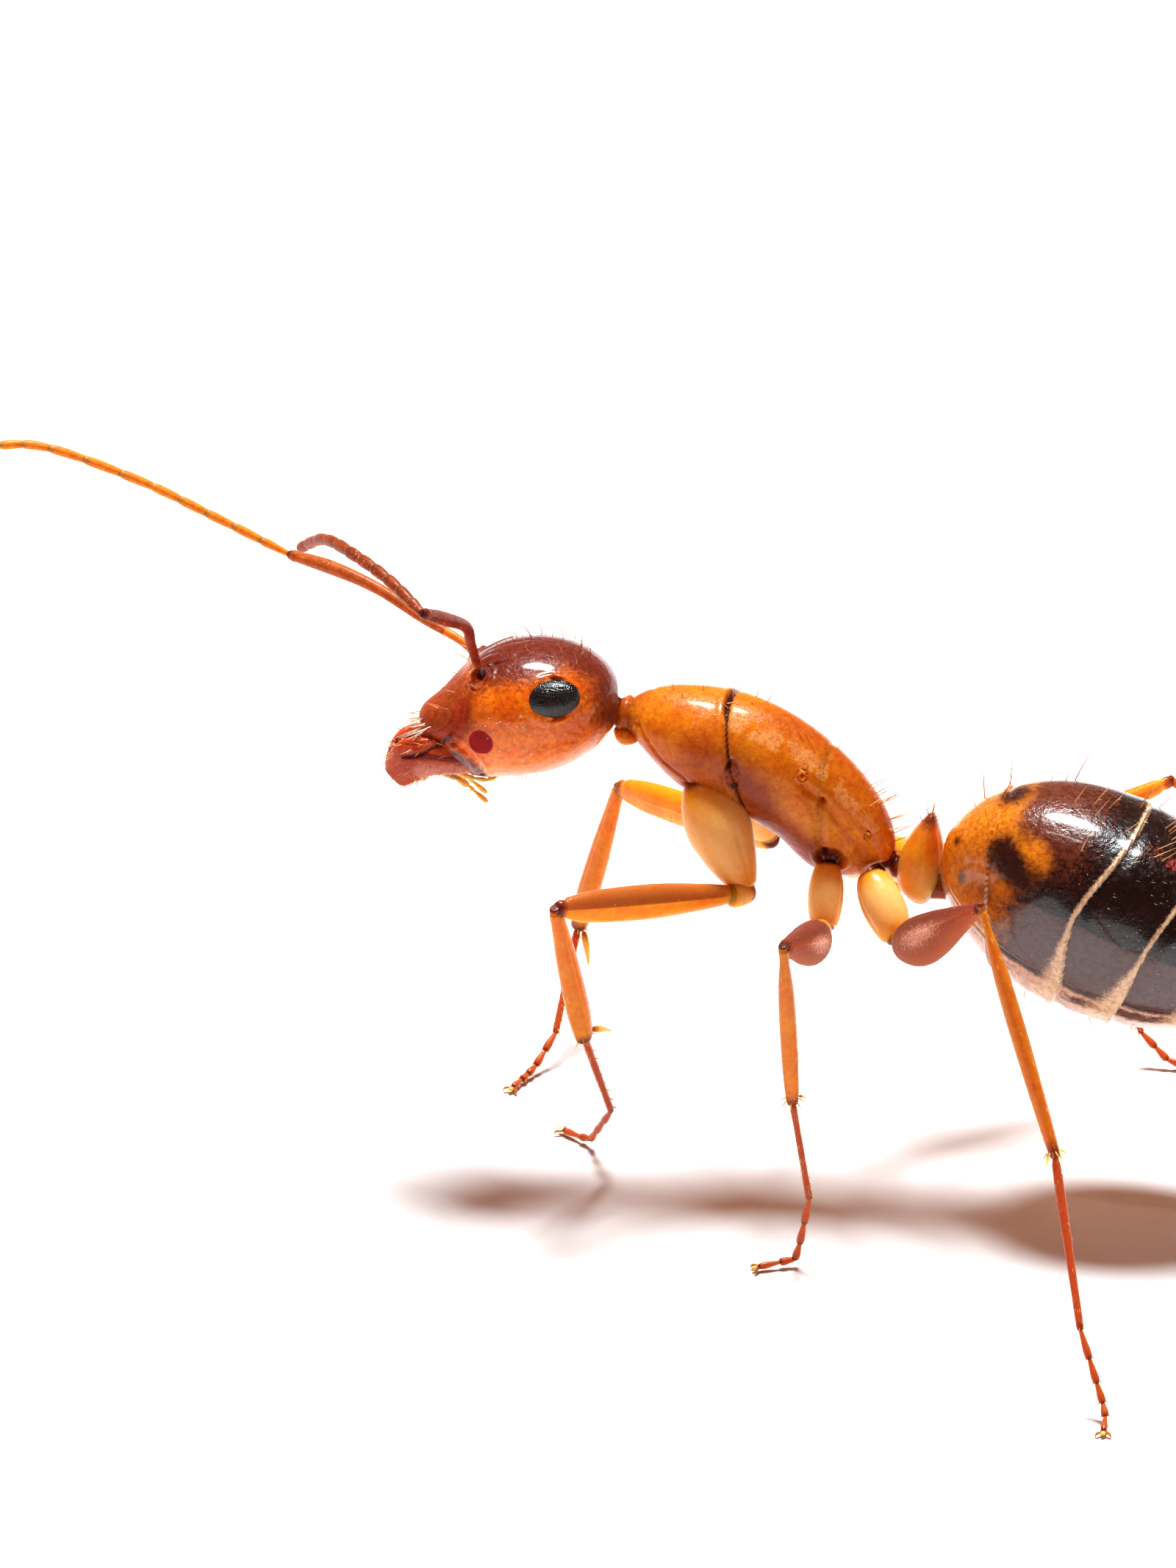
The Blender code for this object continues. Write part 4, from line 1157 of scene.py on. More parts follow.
def model_tibia(name, kind, spots, out, rng):
    """Model a tibia, its spurs and its ring of stiff bristles."""
    knee, ankle = np.array(spots["knee"]), np.array(spots["ankle"])
    shin = swell(name, between(knee, ankle, -0.02, 0.12, 0.35, 0.7, 1.01), *TIBIAE[kind],
                 sides=72, rings=128, blunt=0.20, up=out)
    share, _, height = place_of(shin).T
    push(shin, -0.010 * around(height, 0.0, 0.22) * around(share, 0.55, 0.42))
    push(shin, -0.020 * around(share, 0.055, 0.03))
    shade_limb(shin, joint=(0.9, 0.95), upper=0.35, reach=0.075, red=TIBIA_RED[kind])
    run = unit(ankle - knee)
    side = unit(np.cross(run, out))
    inward = -unit(np.asarray(out) - run * (run @ out))
    parts = [shin]
    long, thick, leans = SPURS[kind]
    for lean in leans:
        root = ankle + inward * TIBIAE[kind][1][-1] * 0.9 + side * lean * 0.3 - run * 0.03
        tip = root + (run * 0.62 + inward * 0.62 + side * lean) * long
        spur = spine(name + "_spur", root, tip, thick, bow=inward * 0.05 * long)
        shade_limb(spur, joint=(0.8, 0.0), pale=0.9, reach=0.3)
        parts.append(spur)
    for turn in np.linspace(0.5, 5.8, TIBIA_THORNS[kind]):
        way = inward * math.cos(turn) + side * math.sin(turn)
        root = ankle - run * 0.06 + way * 0.08
        parts.append(thorn(name, root, way * 0.8 + run * 0.7, rng.uniform(0.11, 0.16), 0.011,
                           joint=(0.3, 0.0), pale=0.5))
    return join(name, parts)


def model_basitarsus(name, kind, spots, out, rng):
    """Model the long first tarsal length, with bristles down its underside."""
    ankle, instep = np.array(spots["ankle"]), np.array(spots["instep"])
    radii = TARSI[kind]
    piece = swell(name, between(ankle, instep, -0.02, 0.3, 0.65, 1.0), radii, radii, sides=48, rings=96,
                  blunt=0.2, up=out)
    share = place_of(piece)[:, 0]
    push(piece, -0.012 * around(share, 0.05, 0.03))
    shade_limb(piece, joint=(0.6, 0.85), red=0.9, reach=0.06)
    run = unit(instep - ankle)
    inward = -unit(np.asarray(out) - run * (run @ out))
    parts = [piece]
    for step in np.linspace(0.08, 0.97, 9):
        side = unit(np.cross(run, inward)) * rng.uniform(-0.8, 0.8)
        root = ankle + (instep - ankle) * step + inward * radii[1] * 0.8
        way = inward * 0.55 + run * 0.75 + side * 0.5
        parts.append(thorn(name, root, way, rng.uniform(0.08, 0.14), 0.009,
                           joint=(0.3, 0.0), red=0.5, pale=0.4))
    return join(name, parts)


def model_foot(name, spots, rng):
    """Model the four short tarsal joints, the claw joint, its two claws and its pad."""
    route = [spots["instep"], spots["toes"][0], spots["toes"][1]]
    stops = [on_route(route, share) for share in TOE_STOPS]
    parts = []
    for number, (start, end) in enumerate(zip(stops[:-1], stops[1:])):
        last = number == len(stops) - 2
        radii = (0.026, 0.036, 0.046, 0.044) if last else (0.032, 0.040, 0.052, 0.058)
        bead = swell(name, between(start, end, -0.06, 0.35, 0.7, 1.02), radii, radii,
                     sides=28, rings=24, blunt=0.35)
        shade_limb(bead, joint=(0.3, 0.8), red=0.85, reach=0.22)
        parts.append(bead)
        run = unit(np.asarray(end) - np.asarray(start))
        side = unit(np.cross(run, UP))
        if not last:
            for turn in (-1, 1):
                root = end - run * 0.02 + side * turn * 0.04
                way = run * 0.7 + side * turn * 0.7
                parts.append(thorn(name, root, way, rng.uniform(0.05, 0.08), 0.009,
                                   joint=(0.2, 0.0), red=0.6))
    for turn in (-1, 1):
        root = stops[-1] - run * 0.02
        tip = root + run * 0.10 + side * turn * 0.10 + np.array((0.0, 0.0, 0.012 - root[2]))
        bow = run * 0.03 + side * turn * 0.035 + np.array((0, 0, 0.025))
        claw = spine(name + "_claw", root, tip, 0.022, bow=bow)
        shade_limb(claw, joint=(0.0, 0.9), red=0.9, reach=0.4)
        parts.append(claw)
    pad = swell(name + "_pad", between(stops[-1], stops[-1] + run * 0.09, 0.0, 0.5, 1.0),
                (0.02, 0.035, 0.03), (0.018, 0.022, 0.018), sides=16, rings=12, blunt=0.6)
    shade_limb(pad, pale=1.0)
    parts.append(pad)
    return join(name, parts)


def leg_finish():
    return shell_finish(
        "leg_shell", (0.92, 0.37, 0.012), (0.86, 0.27, 0.006),
        zones=(("pale", (1.0, 0.57, 0.20), 0.12, 0.3, 0.45),
               ("upper", (0.42, 0.145, 0.030), 0.06, 0.25, 0.35),
               ("brown", (0.31, 0.072, 0.030), 0.08, 0.5, 0.45),
               ("umber", (0.17, 0.040, 0.022), 0.06, 0.9, 0.40),
               ("bloom", (0.74, 0.38, 0.28), 0.030, 1.7, 0.16),
               ("red", (0.33, 0.080, 0.028), 0.08, 0.4, 0.45),
               ("joint", (0.11, 0.020, 0.009), 0.04, 0.35, 0.40)),
        scatter=0.50, net=0.022, grain=0.002, stipple_share=0.06, coat=0.20, dull="brown", deep=0.12)


def model_legs(finish):
    """Model all six legs, each in its five lengths, and return their hairs."""
    rng = np.random.default_rng(7)
    coats = []
    for leg, spots in LEGS.items():
        kind, side = leg.split("_")
        out = unit(np.subtract(spots["knee"], spots["hip"]) * (1, 1, 0))
        node_name = "leg_" + leg
        set_down(model_coxa(node_name + "_hip_joint", kind, spots, out), finish, "leg", node_name + "_coxa")
        thigh = model_femur(node_name + "_thigh", kind, spots, side == "left")
        shin = model_tibia(node_name + "_shin", kind, spots, out, rng)
        ankle = model_basitarsus(node_name + "_ankle", kind, spots, out, rng)
        foot = model_foot(node_name + "_toes", spots, rng)
        for piece, label, count, long in ((thigh, "thigh", 90, (0.04, 0.07)),
                                          (shin, "shin", 80, (0.05, 0.09)),
                                          (ankle, "ankle", 60, (0.05, 0.08))):
            coats.append(grow_limb_hair(node_name + "_" + label + "_hairs", skin_of(piece), count, long))
        for piece, part in ((thigh, "_femur"), (shin, "_tibia"), (ankle, "_basitarsus"), (foot, "_foot")):
            set_down(piece, finish, "leg", node_name + part)
    return coats


# ---------------------------------------------------------------- antennae

JOINTS_IN_WHIP, INNER_JOINTS = 11, 5
SCAPE_RADII = (0.050, 0.056, 0.062, 0.070, 0.082, 0.098, 0.085)
BALL_RADII = (0.075, 0.085, 0.07)
# Shapes of the whip's first, middle and last joints, as shares of the whip's thickness.
FIRST_BEAD = (0.66, 0.70, 0.76, 0.88, 1.0, 0.93)
MIDDLE_BEAD = (0.88, 0.89, 0.92, 0.96, 1.0, 0.95)
LAST_BEAD = (0.62, 0.80, 0.92, 0.90, 0.72, 0.30)
WHIP_RADIUS = {"left": 0.086, "right": 0.067}
WHIP_AMBER = {"left": 0.22, "right": 0.95}


def model_scape(name, side):
    """Model an antenna's long first length, with the ball that sits in its socket."""
    spec = FEELERS[name]
    socket = np.array(on_head((SOCKET.x, SOCKET.y * side, SOCKET.z - 0.02)))
    neck = np.array(on_head((SOCKET.x + 0.02, (SOCKET.y + 0.03) * side, SOCKET.z + 0.16)))
    elbow = np.array(spec["elbow"])
    if spec["stem"]:
        bend = np.array(spec["stem"][0])
        middle = bend * 0.5 + elbow * 0.5 + (0.0, 0.0, 0.02)
        route = [socket, neck, neck * 0.45 + bend * 0.55, bend, middle, elbow]
    else:
        stops = np.array(between(neck, elbow, 0.28, 0.52, 0.76, 1.0))
        stops[:, 2] += (0.05, 0.15, 0.12, 0.0)
        route = [socket, neck * 0.93 + elbow * 0.07, *stops]
    stem = swell("antenna_" + name + "_stem", route, SCAPE_RADII, SCAPE_RADII, sides=48, rings=176,
                 blunt=0.22, up=(-0.6, 0.75, 0.25) if spec["stem"] else UP)
    share = place_of(stem)[:, 0]
    push(stem, 0.020 * around(share, 0.055, 0.03) - 0.012 * around(share, 0.095, 0.02))
    push(stem, 0.010 * around(share, 0.975, 0.02))
    mark(stem, "joint", 0.75 * fade(share, 0.045) + 0.85 * around(share, 1.0, 0.035))
    mark(stem, "ring", 0.9 * around(share, 0.055, 0.035))
    mark(stem, "amber", drop(share, 0.30, 0.15) * 0.8 if spec["stem"] else 0.4 + 0.4 * (share < 0.3))
    ball = swell("antenna_ball", (socket - (0, 0, 0.03), socket + (0, 0, 0.05)), BALL_RADII, BALL_RADII,
                 sides=32, rings=24, up=(1.0, 0.0, 0.0))
    mark(ball, "ring", 0.6)
    mark(ball, "amber", 0.8)
    bpy.ops.mesh.primitive_torus_add(major_segments=48, minor_segments=16, major_radius=0.110,
                                     minor_radius=0.026)
    collar = bpy.context.object
    out = Vector((0.45, 0.62 * side, 0.64)).normalized()
    tilt = out.to_track_quat("Z", "Y").to_matrix().to_4x4()
    collar.data.transform(Matrix.Translation((SOCKET.x, SOCKET.y * side, SOCKET.z)) @ tilt)
    turn_with_head(collar)
    turns = points_of(collar)
    push(collar, 0.008 * np.sin(turns[:, 2] * 90.0))
    mark(collar, "ring", 0.5 + 0.5 * np.sin(turns[:, 0] * 60.0))
    mark(collar, "amber", 0.9)
    return join("antenna_" + name + "_scape", [stem, ball, collar])


def model_whip(name, first, last, label):
    """Model some of the whip's joints: each is a small cone, widest near its far end."""
    spec = FEELERS[name]
    line = [spec["elbow"], *spec["whip"]]
    beads = []
    for number in range(first, last):
        low, high = number / JOINTS_IN_WHIP, (number + 1) / JOINTS_IN_WHIP
        size = WHIP_RADIUS[name] - 0.004 * abs(number - 5) / 5
        tail = number == JOINTS_IN_WHIP - 1
        radii = np.multiply(LAST_BEAD if tail else MIDDLE_BEAD if number else FIRST_BEAD, size)
        stops = read(line, np.linspace(low - 0.010, high + 0.008, 6))
        bead = swell("antenna_bead", stops, radii, radii, sides=32, rings=36, blunt=0.5 if tail else 0.30)
        share = place_of(bead)[:, 0]
        mark(bead, "joint", 0.45 * fade(share, 0.08) + (0.9 if number == 0 else 0.0) * fade(share, 0.22))
        mark(bead, "ring", 0.50 * around(share, 0.93, 0.10))
        mark(bead, "amber", WHIP_AMBER[name])
        beads.append(bead)
    return join("antenna_" + name + "_" + label, beads)


def antenna_finish():
    return shell_finish(
        "antenna_shell", (0.26, 0.045, 0.015), (0.18, 0.028, 0.010),
        zones=(("amber", (0.82, 0.27, 0.030), 0.10, 0.35, 0.45),
               ("ring", (0.80, 0.42, 0.18), 0.03, 0.2, 0.40),
               ("joint", (0.10, 0.018, 0.010), 0.03, 0.2, 0.40)),
        rough=(0.40, 0.55), coat=0.10, scatter=0.25, net=0.018, grain=0.002, stipple_share=0.2)


# ---------------------------------------------------------------- jaws and mouth

JAW_LINE = ((1.92, 0.40, -0.20), (2.12, 0.38, -0.20), (2.36, 0.37, -0.14), (2.60, 0.33, -0.09),
            (2.84, 0.25, -0.12), (3.09, 0.11, -0.36))
JAW_WIDTHS = (0.10, 0.13, 0.14, 0.13, 0.10, 0.05)
JAW_TOPS = (0.14, 0.17, 0.21, 0.25, 0.27, 0.20)
JAW_BOTTOMS = (0.15, 0.20, 0.23, 0.28, 0.32, 0.27)
JAW_FOLDS = (((2.90, 0.3, -0.06), (2.67, 0.4, -0.03), (2.50, 0.45, 0.04), (2.38, 0.45, 0.06)),
             ((2.84, 0.3, 0.10), (2.66, 0.4, 0.10), (2.48, 0.45, 0.14)),
             ((2.80, 0.3, 0.18), (2.64, 0.35, 0.20), (2.50, 0.40, 0.20)))


# Each fold's depth, and the darkness of its painted shade.
FOLD_DEPTHS = ((0.022, 1.0), (0.014, 0.5), (0.012, 0.45))
TOOTH_ROOTS = ((3.00, 0.14, 0.02), (3.03, 0.12, -0.07), (3.05, 0.10, -0.17), (3.06, 0.08, -0.28),
               (3.05, 0.06, -0.40))

# The plates under the mouth: centre line, half-widths, tops, bottoms and paleness.
MOUTH_PLATES = {
    "mouth_plate": (((1.30, 0, -0.42), (1.60, 0, -0.46), (1.95, 0, -0.46), (2.25, 0, -0.40)),
                    (0.20, 0.26, 0.28, 0.18), (0.16, 0.16, 0.16, 0.14), (0.05, 0.08, 0.08, 0.06), 0.55),
    "mouth_tongue": (((2.10, 0, -0.48), (2.30, 0, -0.47), (2.50, 0, -0.42)),
                     (0.14, 0.18, 0.12), (0.10, 0.12, 0.08), (0.06, 0.07, 0.05), 0.8),
    "mouth_lobe": (((2.66, 0.10, -0.30), (2.70, 0.12, -0.40), (2.73, 0.12, -0.47)),
                   (0.06, 0.09, 0.04), (0.09, 0.10, 0.05), (0.08, 0.09, 0.05), 1.0),
    "mouth_lip": (((2.48, 0, -0.02), (2.62, 0, -0.22), (2.72, 0, -0.46)),
                  (0.30, 0.26, 0.16), (0.06, 0.07, 0.05), (0.05, 0.05, 0.04), 0.3),
}
MOUTH_CHEEK = ((1.62, 0.26, -0.36), (1.90, 0.26, -0.38), (2.18, 0.24, -0.35))
# The palps: their joints' places, half-thicknesses and paleness.
PALPS = {
    "outer_palp": (((2.28, 0.28, -0.38), (2.16, 0.30, -0.44), (2.05, 0.30, -0.50), (1.90, 0.30, -0.55),
                    (1.78, 0.28, -0.54), (1.64, 0.26, -0.49)), (0.036, 0.034, 0.032, 0.032, 0.026), 0.8),
    "inner_palp": (((2.42, 0.14, -0.42), (2.28, 0.16, -0.50), (2.14, 0.18, -0.62), (2.08, 0.19, -0.70),
                    (1.94, 0.20, -0.87)), (0.040, 0.048, 0.030, 0.036), 0.9),
}


def mirrored(route, side):
    return [(spot[0], spot[1] * side, spot[2]) for spot in route]


def model_jaw(name, side):
    """Model a mandible: a curved, three-sided blade with teeth down its front edge."""
    blade = swell("jaw_blade", mirrored(JAW_LINE, side), JAW_WIDTHS, JAW_TOPS, JAW_BOTTOMS,
                  sides=128, rings=144, blunt=0.26, square=2.3)
    share, _, height = place_of(blade).T
    # Painted shade in the groove near the jaw's base and along its folds; the darker tip is the jaw's own
    # colour.
    fold = 0.9 * around(share, 0.10, 0.05) + 0.5 * climb(share, 0.96, 0.03)
    for route, (depth, shade) in zip(JAW_FOLDS, FOLD_DEPTHS):
        lane = on_flank(blade, route, side)
        score(blade, lane, 0.045, depth)
        fold += shade * fade(distance_to(points_of(blade), lane), 0.05)
    push(blade, -0.03 * around(share, 0.10, 0.05))
    mark(blade, "fold", fold)
    mark(blade, "smoke", drop(height, -0.10, 0.35) * drop(share, 0.92, 0.25))
    mark(blade, "dark", around(height, 0.12, 0.35) * drop(share, 0.9, 0.2))
    parts = [blade]
    for number, (x, y, z) in enumerate(mirrored(TOOTH_ROOTS, side)):
        long = 0.07 + 0.012 * number
        tooth = spine("jaw_tooth", (x - 0.09, y, z + 0.02), (x + 0.01, y - side * long, z - 0.03),
                      0.045, sides=16, rings=14)
        # The teeth are dark in their own colour, through the same mark.
        mark(tooth, "fold", 0.85)
        mark(tooth, "smoke", 0.0)
        mark(tooth, "dark", 0.5)
        parts.append(tooth)
    jaw = join("jaw_" + name, parts)
    turn_with_head(jaw)
    return jaw


def jaw_finish():
    return shell_finish(
        "jaw_shell", (0.60, 0.100, 0.028), (0.44, 0.048, 0.012),
        zones=(("smoke", (0.60, 0.21, 0.145), 0.08, 0.5, 0.35),
               ("dark", (0.22, 0.012, 0.006), 0.05, 0.6, 0.35),
               # Painted shade in the jaw's folds, and the teeth's own dark colour.
               ("fold", (0.065, 0.008, 0.004), 0.04, 0.5, 0.35)),
        scatter=0.2, net=0.03, grain=0.005, stipple_share=0.2)


def joint_chain(name, route, radii, pale):
    """Model a palp as a chain of slender joints, each a little thicker at its far end."""
    beads = []
    for start, end, radius in zip(route[:-1], route[1:], radii):
        sizes = (radius * 0.62, radius * 0.85, radius, radius * 0.85)
        bead = swell(name, between(start, end, -0.02, 0.35, 0.7, 1.02), sizes, sizes,
                     sides=20, rings=24, blunt=0.35, up=(0.1, 1.0, 0.2))
        share = place_of(bead)[:, 0]
        # The palps' joint ends are dark in their own colour.
        mark(bead, "fold", 0.55 * fade(share, 0.15))
        mark(bead, "pale", pale)
        beads.append(bead)
    return beads


def model_mouth():
    """Model the mouthparts: the lip, the plates under the mouth and the four palps."""
    parts = []
    for label, (line, widths, tops, bottoms, pale) in MOUTH_PLATES.items():
        plate = swell(label, line, widths, tops, bottoms, sides=56, rings=48, blunt=0.6)
        share, across, _ = place_of(plate).T
        push(plate, -0.02 * around(across, 0.0, 0.25) * around(share, 0.5, 0.4))
        # Painted shade along each plate's middle groove.
        mark(plate, "fold", 0.6 * around(across, 0.0, 0.15))
        mark(plate, "pale", pale)
        parts.append(plate)
    for side in SIDES.values():
        lobe = swell("mouth_cheek", mirrored(MOUTH_CHEEK, side), (0.10, 0.14, 0.10), (0.10, 0.11, 0.10),
                     (0.05, 0.07, 0.05), sides=40, rings=40, blunt=0.6)
        mark(lobe, "fold", 0.0)
        mark(lobe, "pale", 0.6)
        parts.append(lobe)
        for label, (route, radii, pale) in PALPS.items():
            parts += joint_chain(label, mirrored(route, side), radii, pale)
    mouth = join("mouthparts_and_palps", parts)
    turn_with_head(mouth)
    return mouth


def mouth_finish():
    return shell_finish(
        "mouth_shell", (0.62, 0.20, 0.060), (0.45, 0.12, 0.035),
        zones=(("pale", (0.86, 0.47, 0.15), 0.06, 0.4, 0.45),
               # Painted shade in the plates' middle grooves, and the palps' own dark joints.
               ("fold", (0.16, 0.035, 0.015), 0.04, 0.3, 0.40)),
        scatter=0.35, net=0.02, grain=0.002)


# ---------------------------------------------------------------- hairs

HAIR_SIDES = 3
HAIR_STEPS = (0.0, 0.35, 0.65, 0.88)
HAIR_TAPER = (1.0, 0.85, 0.60, 0.30)
BAKE_PATCH = 0.003
HAIR_SPREAD = 0.18
HAIR_RNG = np.random.default_rng(11)
HAIR_ROWS = (0.38, 0.56, 0.74, 0.88, 0.96)
PALE_COATS = ("cheek_hairs", "abdomen_flat_hairs", "clypeus_hairs")


def skin_of(*pieces):
    """Gather the places, outward directions and unwrap of finished pieces, before they are set down."""
    return tuple(np.vstack(parts) for parts in ([points_of(piece) for piece in pieces],
                                                [normals_of(piece) for piece in pieces],
                                                [place_of(piece) for piece in pieces]))


def grow_coat(name, skin, weights, count, long, thick, lean, stand=1.0, bend=0.25):
    """Grow solid hairs, with their roots at random where a skin's weights are high.

    The hairs lean the given way and bend with it. Long and thick are ranges, in millimetres.
    """
    spots, ways, places = skin
    chances = np.clip(weights, 0, None)
    picks = HAIR_RNG.choice(len(chances), size=count, replace=False, p=chances / chances.sum())
    verts, faces, patches = [], [], []
    for pick in picks:
        root, out = spots[pick], ways[pick]
        lie = np.asarray(lean(root) if callable(lean) else lean, float)
        way = unit(out * stand + lie + HAIR_RNG.normal(0.0, HAIR_SPREAD, 3))
        reach = HAIR_RNG.uniform(*long)
        radius = HAIR_RNG.uniform(*thick)
        side = unit(np.cross(way, out + (0.013, 0.029, 0.017)))
        third = np.cross(way, side)
        start = len(verts)
        share, turn = places[pick, 0], math.atan2(places[pick, 2], places[pick, 1])
        corner = np.array((turn / (2 * math.pi) + 0.5, share))
        curl = unit(lie + (1e-6, 0, 0)) * bend * reach
        for step, taper in zip(HAIR_STEPS, HAIR_TAPER):
            middle = root - out * 0.01 + way * reach * step + curl * step * step
            for number in range(HAIR_SIDES):
                angle = 2 * math.pi * number / HAIR_SIDES
                verts.append(middle + (side * math.cos(angle) + third * math.sin(angle)) * radius * taper)
                patches.append(corner + BAKE_PATCH * (np.array((step, number / 2)) - 0.5))
        verts.append(root + way * reach + curl)
        patches.append(corner + BAKE_PATCH * 0.5)
        tip = len(verts) - 1
        faces.append([start + number for number in reversed(range(HAIR_SIDES))])
        for level in range(len(HAIR_STEPS) - 1):
            low, high = start + level * HAIR_SIDES, start + (level + 1) * HAIR_SIDES
            faces += [(low + number, low + (number + 1) % HAIR_SIDES, high + (number + 1) % HAIR_SIDES,
                       high + number) for number in range(HAIR_SIDES)]
        last = start + (len(HAIR_STEPS) - 1) * HAIR_SIDES
        faces += [(last + number, last + (number + 1) % HAIR_SIDES, tip) for number in range(HAIR_SIDES)]
    mesh = bpy.data.meshes.new(name)
    mesh.from_pydata([tuple(vert) for vert in verts], [], faces)
    baked = mesh.uv_layers.new(name="OFBake")
    corners = np.empty(len(mesh.loops), np.int64)
    mesh.loops.foreach_get("vertex_index", corners)
    baked.data.foreach_set("uv", np.asarray(patches)[corners].ravel())
    coat = bpy.data.objects.new(name, mesh)
    bpy.context.collection.objects.link(coat)
    return coat


def hair_finish(name, root_colour, tip_colour):
    """Fine translucent bristle, clouded a little along its length."""
    finish, tree, shader, place = start_finish(name)
    tone = effect(tree, "mottle", Place=place, Size=0.10, Least=0.3, Most=0.7)
    feed(tree, shader.inputs["Base Color"], blend(tree, tone, root_colour, tip_colour))
    feed(tree, shader.inputs["Roughness"], stretch(tree, tone, 0.0, 1.0, 0.35, 0.5))
    bump = node(tree, "Bump", {"Height": tone, "Strength": 0.3, "Distance": 0.002 * MM})
    feed(tree, shader.inputs["Normal"], bump.outputs["Normal"])
    set_values(shader, Subsurface_Weight=0.4, Subsurface_Radius=(1.0, 0.5, 0.2), Subsurface_Scale=0.02 * MM)
    return finish


def soft_step(values, low, high):
    return np.clip((values - low) / (high - low), 0, 1)


def window(values, low, high, edge):
    """Return 1 between two values, falling to 0 over an edge's width on both sides."""
    return soft_step(values, low - edge, low) * soft_step(-values, -high - edge, -high)


def grow_head_hair(skin):
    """Grow the brow's tall hairs, the cheeks' flat bristles and the fringe over the jaws."""
    turn = np.array(HEAD_TURN)
    x, y, z = ((skin[0] - np.array(HEAD_JOINT)) @ turn).T
    forward, down = turn @ (1.0, 0.0, 0.0), turn @ (0.0, 0.0, -1.0)
    brow = window(x, 0.1, 1.9, 0.2) * (z > 0.80) * (np.abs(y) < 0.55)
    cheek = window(x, 1.30, 1.76, 0.08) * window(z, -0.05, 0.42, 0.06) + 0.12 * window(x, 0.6, 1.8, 0.1)
    cheek *= (np.abs(y) > 0.55) * (z < 0.5)
    fringe = window(x, 2.50, 2.90, 0.04) * window(z, 0.10, 0.38, 0.05) * (np.abs(y) < 0.40)
    shield = window(x, 2.05, 2.60, 0.05) * (z > 0.5) * (np.abs(y) < 0.5)
    throat = window(x, 0.5, 2.0, 0.1) * (z < -0.55) * (np.abs(y) < 0.5)
    return [
        grow_coat("brow_hairs", skin, brow, 30, (0.14, 0.30), (0.006, 0.009), forward * 0.25),
        grow_coat("cheek_hairs", skin, cheek, 90, (0.020, 0.030), (0.015, 0.019),
                  (forward + down * 0.4) * 1.6, stand=0.35, bend=0.10),
        grow_coat("clypeus_hairs", skin, fringe, 34, (0.14, 0.34), (0.006, 0.010),
                  forward * 1.2 + down * 0.2, stand=0.7, bend=0.30),
        grow_coat("shield_hairs", skin, shield, 9, (0.10, 0.20), (0.005, 0.007), forward * 0.6),
        grow_coat("throat_hairs", skin, throat, 14, (0.10, 0.20), (0.005, 0.007), forward * 0.3)]


def grow_jaw_hair(name, skin):
    """Grow the short bristles on the back of a jaw and the fringe on its front edge."""
    share, _, height = skin[2].T
    forward = np.array(HEAD_TURN) @ (1.0, 0.0, -0.3)
    back = window(share, 0.30, 0.85, 0.05) * (np.abs(height) > 0.3)
    front = window(share, 0.80, 0.97, 0.03)
    return [
        grow_coat("jaw_hairs_" + name, skin, back, 60, (0.07, 0.15), (0.005, 0.007), forward * 0.7),
        grow_coat("jaw_fringe_" + name, skin, front, 34, (0.08, 0.16), (0.004, 0.006), forward * 1.2,
                  stand=0.6)]


def grow_trunk_hair(skin):
    """Grow the tall hairs over the rump, and the shorter ones on the back and the breast."""
    share, _, height = skin[2].T
    rear = window(share, 0.82, 0.97, 0.03) * (height > 0.85)
    top = window(share, 0.08, 0.78, 0.05) * (height > 0.93)
    under = window(share, 0.10, 0.90, 0.05) * (height < -0.85)
    return [
        grow_coat("rump_hairs", skin, rear, 20, (0.22, 0.38), (0.006, 0.009), (0.45, 0.0, 0.25)),
        grow_coat("back_hairs", skin, top, 22, (0.10, 0.22), (0.005, 0.008), (0.1, 0.0, 0.2)),
        grow_coat("breast_hairs", skin, under, 12, (0.08, 0.16), (0.005, 0.007), (0.2, 0.0, 0.0))]


def grow_scale_hair(skin):
    """Grow the few hairs on the crest of the waist's scale."""
    crest = (skin[0][:, 2] > 4.90) * 1.0
    return [grow_coat("scale_hairs", skin, crest, 9, (0.16, 0.28), (0.005, 0.008), (0.1, 0.0, 0.5))]


def grow_abdomen_hair(skin):
    """Grow the abdomen's tall hairs in loose rows, and the tiny flat ones on its dark rings."""
    share, _, height = skin[2].T

    def lean(root):
        return np.array((0.05 + 0.30 * max(root[0] - 13.0, 0.0), 0.0, 0.35))

    rows = sum(window(share, spot - 0.03, spot, 0.01) for spot in HAIR_ROWS)
    tall = np.clip(rows + 0.25, 0, 1) * (height > 0.78) * (share > 0.06)
    under = np.clip(rows + 0.2, 0, 1) * (height < -0.70) * (share > 0.15)
    flat = (height > -0.75) * (share > 0.20)
    return [
        grow_coat("abdomen_tall_hairs", skin, tall, 84, (0.30, 0.50), (0.007, 0.011), lean),
        grow_coat("belly_hairs", skin, under, 22, (0.16, 0.28), (0.005, 0.008), (0.35, 0.0, -0.1)),
        grow_coat("abdomen_flat_hairs", skin, flat, 420, (0.045, 0.075), (0.0035, 0.0055),
                  (1.9, 0.0, -0.55), stand=0.35, bend=0.10)]


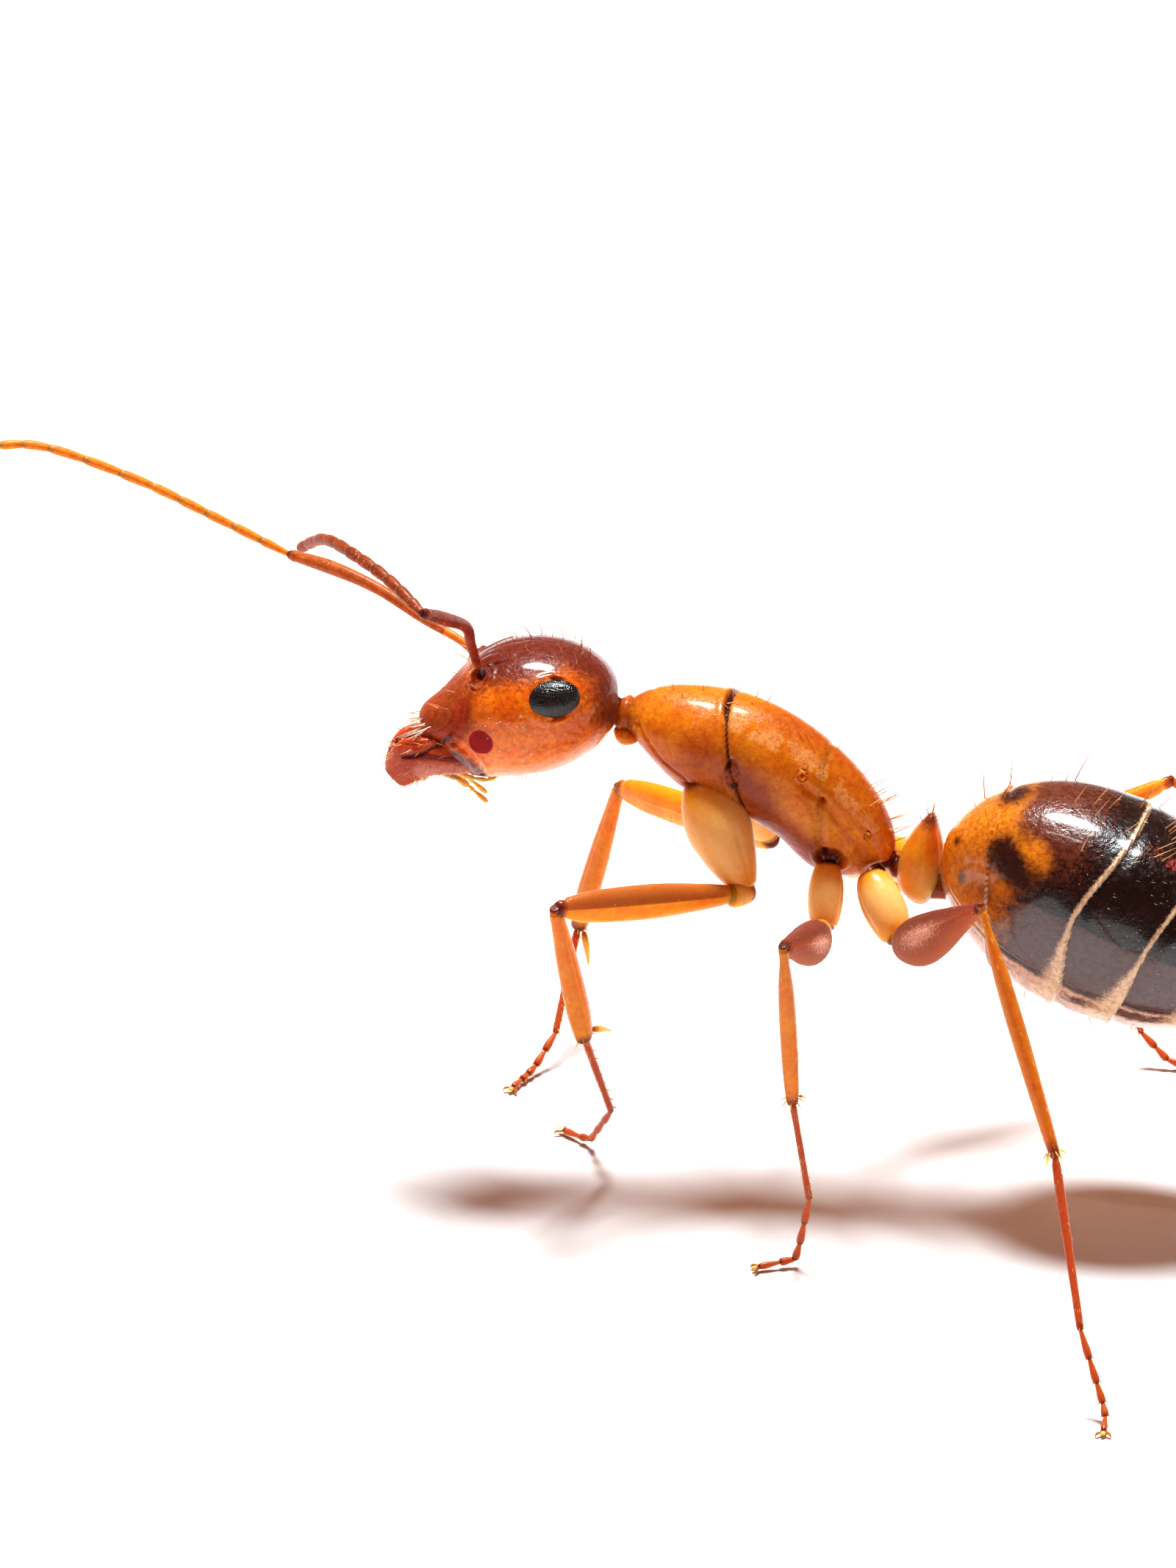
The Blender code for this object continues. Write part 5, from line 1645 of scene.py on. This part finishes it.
def grow_limb_hair(name, skin, count, long):
    """Grow fine short hairs along a limb, leaning towards its far end."""
    spots, share = skin[0], skin[2][:, 0]
    run = spots[np.argmax(share)] - spots[np.argmin(share)]
    even = window(share, 0.08, 0.96, 0.04)
    return grow_coat(name, skin, even, count, long, (0.0035, 0.0055), unit(run) * 1.1,
                     stand=0.7, bend=0.15)


# ---------------------------------------------------------------- putting the ant together

build_studio()

coats = []
eye_look, feeler_look, jaw_look = eye_finish(), antenna_finish(), jaw_finish()
head = model_head()
coats += grow_head_hair(skin_of(head))
set_down(head, head_finish(), "shell", "head")
for name, side in SIDES.items():
    set_down(model_eye(name, side), eye_look, "eye", "eye_" + name)
    scape = model_scape(name, side)
    coats.append(grow_limb_hair("scape_hairs_" + name, skin_of(scape), 40, (0.04, 0.08)))
    set_down(scape, feeler_look, "feeler", "antenna_" + name + "_scape")
    set_down(model_whip(name, 0, INNER_JOINTS, "near_whip"), feeler_look, "feeler",
             "antenna_" + name + "_inner")
    set_down(model_whip(name, INNER_JOINTS, JOINTS_IN_WHIP, "far_whip"), feeler_look, "feeler",
             "antenna_" + name + "_outer")
    jaw = model_jaw(name, side)
    coats += grow_jaw_hair(name, skin_of(jaw))
    set_down(jaw, jaw_look, "shell", "mandible_" + name)
set_down(model_mouth(), mouth_finish(), "shell", "mouthparts")

trunk_look = trunk_finish()
plates = model_trunk()
coats += grow_trunk_hair(skin_of(*plates))
for piece, plate in zip(plates, ("prothorax", "mesothorax", "propodeum")):
    set_down(piece, trunk_look, "shell", plate)
set_down(model_neck(), trunk_look, "shell")
leg_look = leg_finish()
scale = model_waist()
coats += grow_scale_hair(skin_of(scale))
set_down(scale, leg_look, "leg", "petiole")
abdomen_look = abdomen_finish()
rings = model_abdomen()
coats += grow_abdomen_hair(skin_of(*rings))
for number, piece in enumerate(rings, 1):
    set_down(piece, abdomen_look, "abdomen", "gaster_%d" % number)
coats += model_legs(leg_look)

hair_look = hair_finish("bristle", (0.50, 0.20, 0.06), (0.86, 0.55, 0.28))
pale_look = hair_finish("pale_bristle", (0.86, 0.66, 0.46), (0.98, 0.90, 0.78))
for coat in coats:
    set_down(coat, pale_look if coat.name in PALE_COATS else hair_look, None, angle=80.0)
